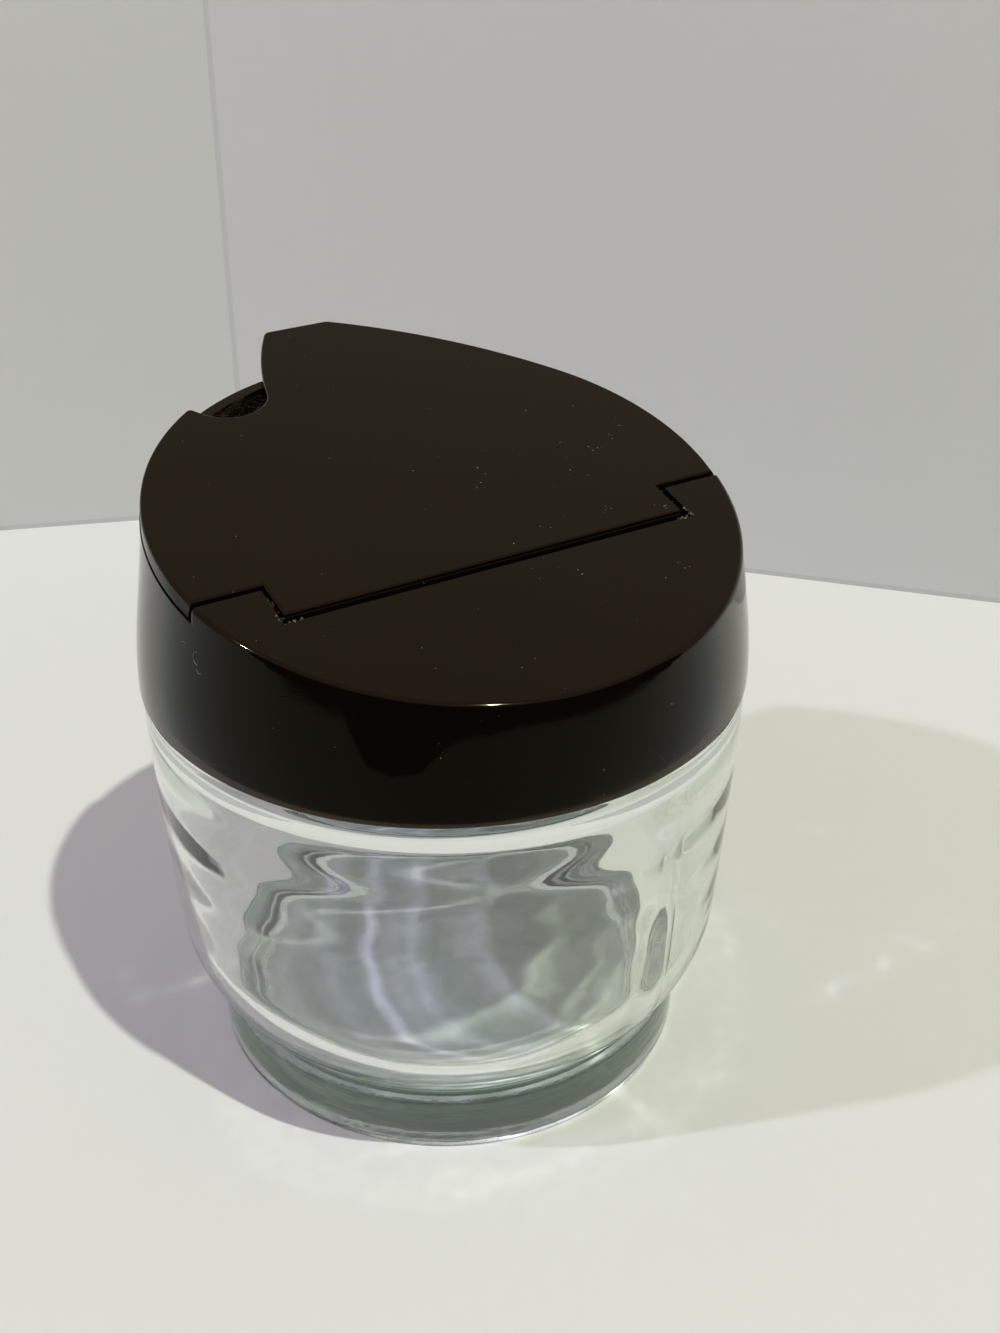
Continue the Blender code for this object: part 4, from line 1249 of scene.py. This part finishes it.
def slot_edges():
    """Narrow strips of the slanted top along the slot's rear corners."""
    bm = bmesh.new()
    half = SLOT_STRIP / 2
    for side in (-1, 1):
        x, low, high = side * EAR_INNER, EAR_FRONT + CRUMB_SIDE_START, GROOVE_REAR
        inner = x - side * CRUMB_REAR_LENGTH
        for strip in (((x - half, low), (x + half, low), (x + half, high), (x - half, high)),
                      ((inner, high - half), (x, high - half), (x, high + half), (inner, high + half))):
            bm.faces.new([bm.verts.new((px, py, top_height(py))) for px, py in strip])
    return bm


def lint_paths():
    """The curled fibres on the skirt."""
    bm = bmesh.new()
    for azimuth, height, size, start, sweep in LINT_CURLS:
        row = []
        for along, up in arc((0.0, height), size, start, start + sweep, LINT_FACETS):
            radius = skirt_radius(up) + LINT_LIFT
            angle = azimuth + along / radius
            row.append(bm.verts.new((radius * cos(angle), radius * sin(angle), up)))
        for first, second in zip(row, row[1:]):
            bm.edges.new((first, second))
    return bm


def make_marks(settings):
    """Dust on the rear cover and the flap, crumbs of flash in the slot's corners whose pale tone is partly a
    painted highlight on the slot's edges, and lint on the skirt.
    """
    dust, flash, lint = (fleck_material(name, pale, dark) for name, pale, dark in FLECK_TONES)
    cover_end = asin(DUST_REAR_START / CAP_TOP_RADIUS)
    cover = round_axis(CAP_TOP_RADIUS - DUST_MARGIN, cover_end, pi - cover_end, RIM_FACETS)
    front = inset_outline(flap_outline(), DUST_MARGIN)
    scatter = scatter_tree()
    specks = {"Density": settings.dust / CM ** 2, "Size": settings.speck, "Material": dust}
    crumbs = {"Density": settings.crumbs / MM ** 2, "Size": settings.crumb, "Material": flash}
    fibres = {"Thickness": settings.fibre, "Material": lint}
    return (("cap", grown("cap_dust", scatter, {**specks, "Seed": settings.seed}, top_patch(cover))),
            ("flap", grown("flap_dust", scatter, {**specks, "Seed": settings.seed + 2}, top_patch(front))),
            # Crumbs in the slot's corners, pale partly as a painted highlight on its edges
            ("cap", grown("slot_crumbs", scatter, {**crumbs, "Seed": settings.seed + 4}, slot_edges())),
            ("cap", grown("skirt_lint", fibre_tree(), fibres, lint_paths())))


def staged(name, bm, *materials):
    """Turn a bmesh into a new object for the stage."""
    item = linked(name, new_mesh(name, bm, materials))
    return item


def sheet(name, start, end, height, material):
    """A sheet of card that stands on the floor, seen from the jar's side."""
    bm = bmesh.new()
    corners = ((*end, 0.0), (*start, 0.0), (*start, height), (*end, height))
    bm.faces.new([bm.verts.new(corner) for corner in corners])
    return staged(name, bm, material)


def reflection_line_height(angle):
    """Height of the line between the glowing and the black part of the painted reflection card."""
    for (first, low), (last, high) in zip(PAINTED_REFLECTION_LINE, PAINTED_REFLECTION_LINE[1:]):
        if angle <= last:
            return low + (high - low) * (angle - first) / (last - first)
    return PAINTED_REFLECTION_LINE[-1][1]


def painted_reflection_glow_material():
    """The card's glowing part, a painted reflection of the lit floor, which brightens to both sides as the lit
    floor beyond it does.
    """
    card = Finish("dim card")
    x, y = card.parts()[:2]
    away = 1.0 - (x * cos(REFLECTION_CARD_MIDDLE) + y * sin(REFLECTION_CARD_MIDDLE)) / REFLECTION_CARD_RADIUS
    least, even, steep = PAINTED_REFLECTION_GLOW
    glow = least + away * even + away * away * away * steep
    return card.shade({"Emission Color": card.mix(glow, BLACK, tone(PAINTED_REFLECTION_COLOUR)),
                       "Emission Strength": 1.0, "Base Color": BLACK, "Specular IOR Level": 0.0})


def painted_dark_reflection_material():
    """The card's black part, a painted dark reflection."""
    card = Finish("black card")
    return card.shade({"Roughness": 0.8 + card.noise(300.0) * 0.2, "Base Color": BLACK,
                       "Specular IOR Level": 0.0})


def dark_card():
    """A curved card in front of the jar, which only reflections show, painting the reflection on the skirt: a
    dim grey glow below, black above.
    """
    foot = round_axis(REFLECTION_CARD_RADIUS, REFLECTION_CARD_START, REFLECTION_CARD_END, 2 * RIM_FACETS)
    lines = [reflection_line_height(atan2(y, x)) for x, y in foot]
    tops = [REFLECTION_CARD_HEIGHT if line < REFLECTION_CARD_LOW else line for line in lines]
    bm = bmesh.new()
    rows = [[bm.verts.new((*place, height)) for place, height in zip(foot, heights)]
            for heights in ([0.0] * len(foot), lines, tops)]
    for part in (0, 1):
        for i in range(len(foot) - 1):
            if part == 1 and lines[i] == tops[i] and lines[i + 1] == tops[i + 1]:
                continue
            face = bm.faces.new((rows[part][i + 1], rows[part][i], rows[part + 1][i], rows[part + 1][i + 1]))
            face.material_index = part
    card = staged("dark_card", bm, painted_reflection_glow_material(), painted_dark_reflection_material())
    # Only reflections see the card, so it paints the reflection on the skirt
    for way in ("camera", "diffuse", "transmission", "shadow", "volume_scatter"):
        setattr(card, "visible_" + way, False)


def lamp_samples(lamp, random):
    """Start points and directions of rays from one lamp, spread evenly over a square round the jar."""
    place = Vector(lamp["place"])
    away = place - LIGHT_TARGET
    side = away.cross((0.0, 0.0, 1.0)).normalized()
    up = side.cross(away).normalized()
    for i in range(LIGHT_RAYS):
        for j in range(LIGHT_RAYS):
            across, along = (((step + random.random()) / LIGHT_RAYS * 2 - 1) * LIGHT_REACH for step in (i, j))
            right, high = ((random.random() - 0.5) * lamp["size"] for _ in range(2))
            start = place + side * right + up * high
            yield start, (LIGHT_TARGET + side * across + up * along - start).normalized()


class LightTracer:
    """Follows rays through the glass until they land on the floor or on something opaque."""

    def __init__(self, glass, opaque):
        points, faces = [], []
        for item in (glass, *opaque):
            first = len(points)
            points += [vertex.co.copy() for vertex in item.data.vertices]
            faces += [[first + i for i in face.vertices] for face in item.data.polygons]
            if item is glass:
                self.glass_faces = len(faces)
                self.normals = [vertex.normal.copy() for vertex in item.data.vertices]
        self.points, self.faces = points, faces
        self.tree = BVHTree.FromPolygons(points, faces)

    def normal(self, face, place):
        """The smooth normal of the glass at a place on a face."""
        corners = self.faces[face]
        weights = poly_3d_calc([self.points[i] for i in corners], place)
        normal = Vector()
        for i, weight in zip(corners, weights):
            normal += self.normals[i] * weight
        return normal.normalized()

    def land(self, start, way):
        """Where a ray that touches the glass lands on the floor and how much of it is left, or None."""
        touched = False
        passed = 1.0
        for _ in range(MOST_BENDS):
            place, _, face, _ = self.tree.ray_cast(start + way * RAY_OFFSET, way)
            if place is None:
                break
            if face >= self.glass_faces:
                return None
            touched = True
            normal = self.normal(face, place)
            slant = -way.dot(normal)
            ratio = 1 / GLASS_BENDING
            if slant < 0:
                normal, slant, ratio = -normal, -slant, GLASS_BENDING
            inner = 1 - ratio * ratio * (1 - slant * slant)
            if inner <= 0:
                way = way + normal * (2 * slant)
            else:
                beyond = sqrt(inner)
                first = (ratio * slant - beyond) / (ratio * slant + beyond)
                second = (slant - ratio * beyond) / (slant + ratio * beyond)
                passed *= 1 - (first * first + second * second) / 2
                way = way * ratio + normal * (ratio * slant - beyond)
            start = place
        else:
            return None
        if not touched or way.z >= 0:
            return None
        return start - way * (start.z / way.z), passed


def light_through_glass(lamps, glass, opaque, colour_of_floor):
    """How bright each cell of the floor is by lamp light that passed through the glass."""
    tracer = LightTracer(glass, opaque)
    random = Random(LIGHT_SEED)
    cells = round(2 * LIGHT_HALF / LIGHT_CELL)
    light = numpy.zeros((cells, cells, 3))
    for lamp in lamps:
        distance = (Vector(lamp["place"]) - LIGHT_TARGET).length
        density = lamp["power"] / (pi * distance ** 2)
        flux = density * (2 * LIGHT_REACH / LIGHT_RAYS) ** 2 / LIGHT_CELL ** 2 / pi
        shown = LIGHT_GAIN * numpy.array([flux * a * b for a, b in zip(lamp["rgb"], colour_of_floor)])
        for start, way in lamp_samples(lamp, random):
            landed = tracer.land(start, way)
            if landed is None:
                continue
            place, passed = landed
            column, row = (int((along + LIGHT_HALF) / LIGHT_CELL) for along in (place.x, place.y))
            if 0 <= column < cells and 0 <= row < cells:
                light[row, column] += shown * passed
    for axis in (0, 1):
        light = (numpy.roll(light, 1, axis) + 2 * light + numpy.roll(light, -1, axis)) / 4
    bright = numpy.percentile(light[light > 0.0], LIGHT_BRIGHT_PERCENT)
    return bright * (light / bright) ** LIGHT_CONTRAST


def light_floor(light, material):
    """The floor sheet, with a fine grid near the jar whose vertices carry the light."""
    cells = len(light)
    ticks = [-LIGHT_HALF + (i + 0.5) * LIGHT_CELL for i in range(cells)]
    bm = bmesh.new()
    grid = [[bm.verts.new((x, y, 0.0)) for x in ticks] for y in ticks]
    for near, far in zip(grid, grid[1:]):
        for i in range(cells - 1):
            bm.faces.new((near[i], near[i + 1], far[i + 1], far[i]))
    inner = (grid[0][0], grid[0][-1], grid[-1][-1], grid[-1][0])
    outer = [bm.verts.new((x * FLOOR_HALF, y * FLOOR_HALF, 0.0))
             for x, y in ((-1, -1), (1, -1), (1, 1), (-1, 1))]
    for i in range(4):
        bm.faces.new((outer[i - 1], outer[i], inner[i], inner[i - 1]))
    mesh = staged("floor", bm, material).data
    values = numpy.ones((len(mesh.vertices), 4))
    values[:, :3] = 0.0
    values[:cells * cells, :3] = light.reshape(-1, 3)
    mesh.attributes.new(LIGHT_NAME, 'FLOAT_COLOR', 'POINT').data.foreach_set("color", values.ravel())


def make_lamp(name, place, power, rgb, size):
    """A square lamp that faces the jar."""
    lamp = bpy.data.lights.new(name, 'AREA')
    lamp.energy = power
    lamp.color = rgb
    lamp.size = size
    item = linked(name, lamp)
    item.location = place
    item.rotation_euler = (LAMP_TARGET - Vector(place)).to_track_quat('-Z', 'Y').to_euler()


def make_camera():
    """The camera at the photograph's angle."""
    lens = bpy.data.cameras.new("camera")
    lens.sensor_width = CAMERA_SENSOR_MM
    lens.lens = CAMERA_SENSOR_MM * CAMERA_FOCUS_PIXELS / CAMERA_LONG_SIDE_PIXELS
    camera = linked("camera", lens)
    turn = Matrix((CAMERA_FORWARD.cross(CAMERA_UP), CAMERA_UP, -CAMERA_FORWARD)).transposed().to_4x4()
    camera.matrix_world = Matrix.Translation(CAMERA_PLACE) @ turn
    bpy.context.scene.camera = camera


def make_room(settings):
    """Walls of card with thin strips of painted shade at their feet and in their corner."""
    card = one_sided_material("wall card", settings.wall)
    crease_shade = one_sided_material("card joint", PAINTED_SHADE_COLOUR)
    for name, start, end in (("right_wall", RIGHT_WALL_END, WALL_CORNER),
                             ("left_wall", WALL_CORNER, LEFT_WALL_END)):
        along = (end - start).normalized()
        lift = Vector((-along.y, along.x)) * SHADE_LINE_LIFT
        sheet(name, start, end, WALL_HEIGHT, card)
        # Strips of painted shade where the wall meets the floor and the other wall
        sheet(name + "_foot_joint", start + lift, end + lift, SHADE_LINE_WIDTH, crease_shade)
        if start == WALL_CORNER:
            sheet("corner_joint", start + lift, start + lift + along * SHADE_LINE_WIDTH, WALL_HEIGHT, crease_shade)


def make_sky(settings):
    """Even room light, which looks like the walls where the camera sees it."""
    world = bpy.data.worlds.new("room")
    world.use_nodes = True
    graph = Graph(world.node_tree)
    seen = graph.add('ShaderNodeLightPath', output="Is Camera Ray")
    seen = seen.most(graph.add('ShaderNodeLightPath', output="Is Transmission Ray"))
    shown = graph.mix(seen, tone(ROOM_COLOUR, settings.sky), tone(settings.wall))
    graph.feed(world.node_tree.nodes["Background"], {"Color": shown})
    bpy.context.scene.world = world


def make_stage(settings):
    """Floor, walls, lamps, room light and camera."""
    lamps = ({"name": "key_lamp", "place": KEY_PLACE, "size": KEY_SIZE, "power": settings.key_power,
              "rgb": KEY_COLOUR},
             {"name": "side_lamp", "place": SIDE_PLACE, "size": SIDE_SIZE, "power": settings.fill_power,
              "rgb": SIDE_COLOUR})
    glass, *opaque = (bpy.data.objects[name]
                      for name in ("jar_body", "liner_ring", "cap_moulding", "flap_moulding"))
    light_floor(light_through_glass(lamps, glass, opaque, settings.floor), floor_material(settings.floor))
    make_room(settings)
    for lamp in lamps:
        make_lamp(**lamp)
    dark_card()
    make_sky(settings)
    make_camera()


class JAR_OT_glass(bpy.types.Operator):
    """Make the glass jar"""

    bl_idname = "condiment_jar.glass"
    bl_label = "Glass jar"

    def execute(self, context):
        glass = make_glass(context.scene.jar_glass)
        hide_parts("glass_jar")
        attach(glass, "jar")
        return {'FINISHED'}


class JAR_OT_seal(bpy.types.Operator):
    """Make the sealing ring"""

    bl_idname = "condiment_jar.seal"
    bl_label = "Sealing ring"

    def execute(self, context):
        ring = make_seal(context.scene.jar_seal)
        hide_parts("sealing_ring")
        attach(ring, "seal")
        return {'FINISHED'}


class JAR_OT_cap(bpy.types.Operator):
    """Make the screw cap"""

    bl_idname = "condiment_jar.cap"
    bl_label = "Screw cap"

    def execute(self, context):
        cap = make_cap(context.scene.jar_cap)
        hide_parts("screw_cap")
        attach(cap, "cap")
        return {'FINISHED'}


class JAR_OT_flap(bpy.types.Operator):
    """Make the hinged flap"""

    bl_idname = "condiment_jar.flap"
    bl_label = "Hinged flap"

    def execute(self, context):
        flap = make_flap(context.scene.jar_cap)
        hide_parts("hinged_flap")
        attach(flap, "flap")
        return {'FINISHED'}


class JAR_OT_marks(bpy.types.Operator):
    """Add dust, moulding crumbs and lint"""

    bl_idname = "condiment_jar.marks"
    bl_label = "Small marks"

    def execute(self, context):
        for body, item in make_marks(context.scene.jar_marks):
            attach(item, body)
        return {'FINISHED'}


class JAR_OT_stage(bpy.types.Operator):
    """Make the floor, the walls, the light and the camera"""

    bl_idname = "condiment_jar.stage"
    bl_label = "Stage"

    def execute(self, context):
        make_stage(context.scene.jar_stage)
        return {'FINISHED'}


class JAR_PT_panel(bpy.types.Panel):
    """Lists the pieces in the sidebar"""

    bl_label = "Condiment jar"
    bl_space_type = 'VIEW_3D'
    bl_region_type = 'UI'
    bl_category = "Jar"

    def draw(self, context):
        for step in OPERATORS:
            self.layout.operator(step.bl_idname)


SETTINGS = {"jar_glass": GlassSettings, "jar_seal": SealSettings, "jar_cap": CapSettings,
            "jar_marks": MarkSettings, "jar_stage": StageSettings}
OPERATORS = (JAR_OT_glass, JAR_OT_seal, JAR_OT_cap, JAR_OT_flap, JAR_OT_marks, JAR_OT_stage)


def register():
    """Register the settings, the operators and the panel."""
    for kind in (*SETTINGS.values(), *OPERATORS, JAR_PT_panel):
        bpy.utils.register_class(kind)
    for name, kind in SETTINGS.items():
        setattr(bpy.types.Scene, name, PointerProperty(type=kind))


def unregister():
    """Take everything out again."""
    for name in SETTINGS:
        delattr(bpy.types.Scene, name)
    for kind in reversed((*SETTINGS.values(), *OPERATORS, JAR_PT_panel)):
        bpy.utils.unregister_class(kind)


def main():
    """Make the pieces and the stage."""
    register()
    bpy.context.scene.view_settings.view_transform = 'Standard'
    bpy.ops.condiment_jar.glass()
    bpy.ops.condiment_jar.seal()
    bpy.ops.condiment_jar.cap()
    bpy.ops.condiment_jar.flap()
    bpy.ops.condiment_jar.marks()
    bpy.ops.condiment_jar.stage()


if __name__ == "__main__":
    main()
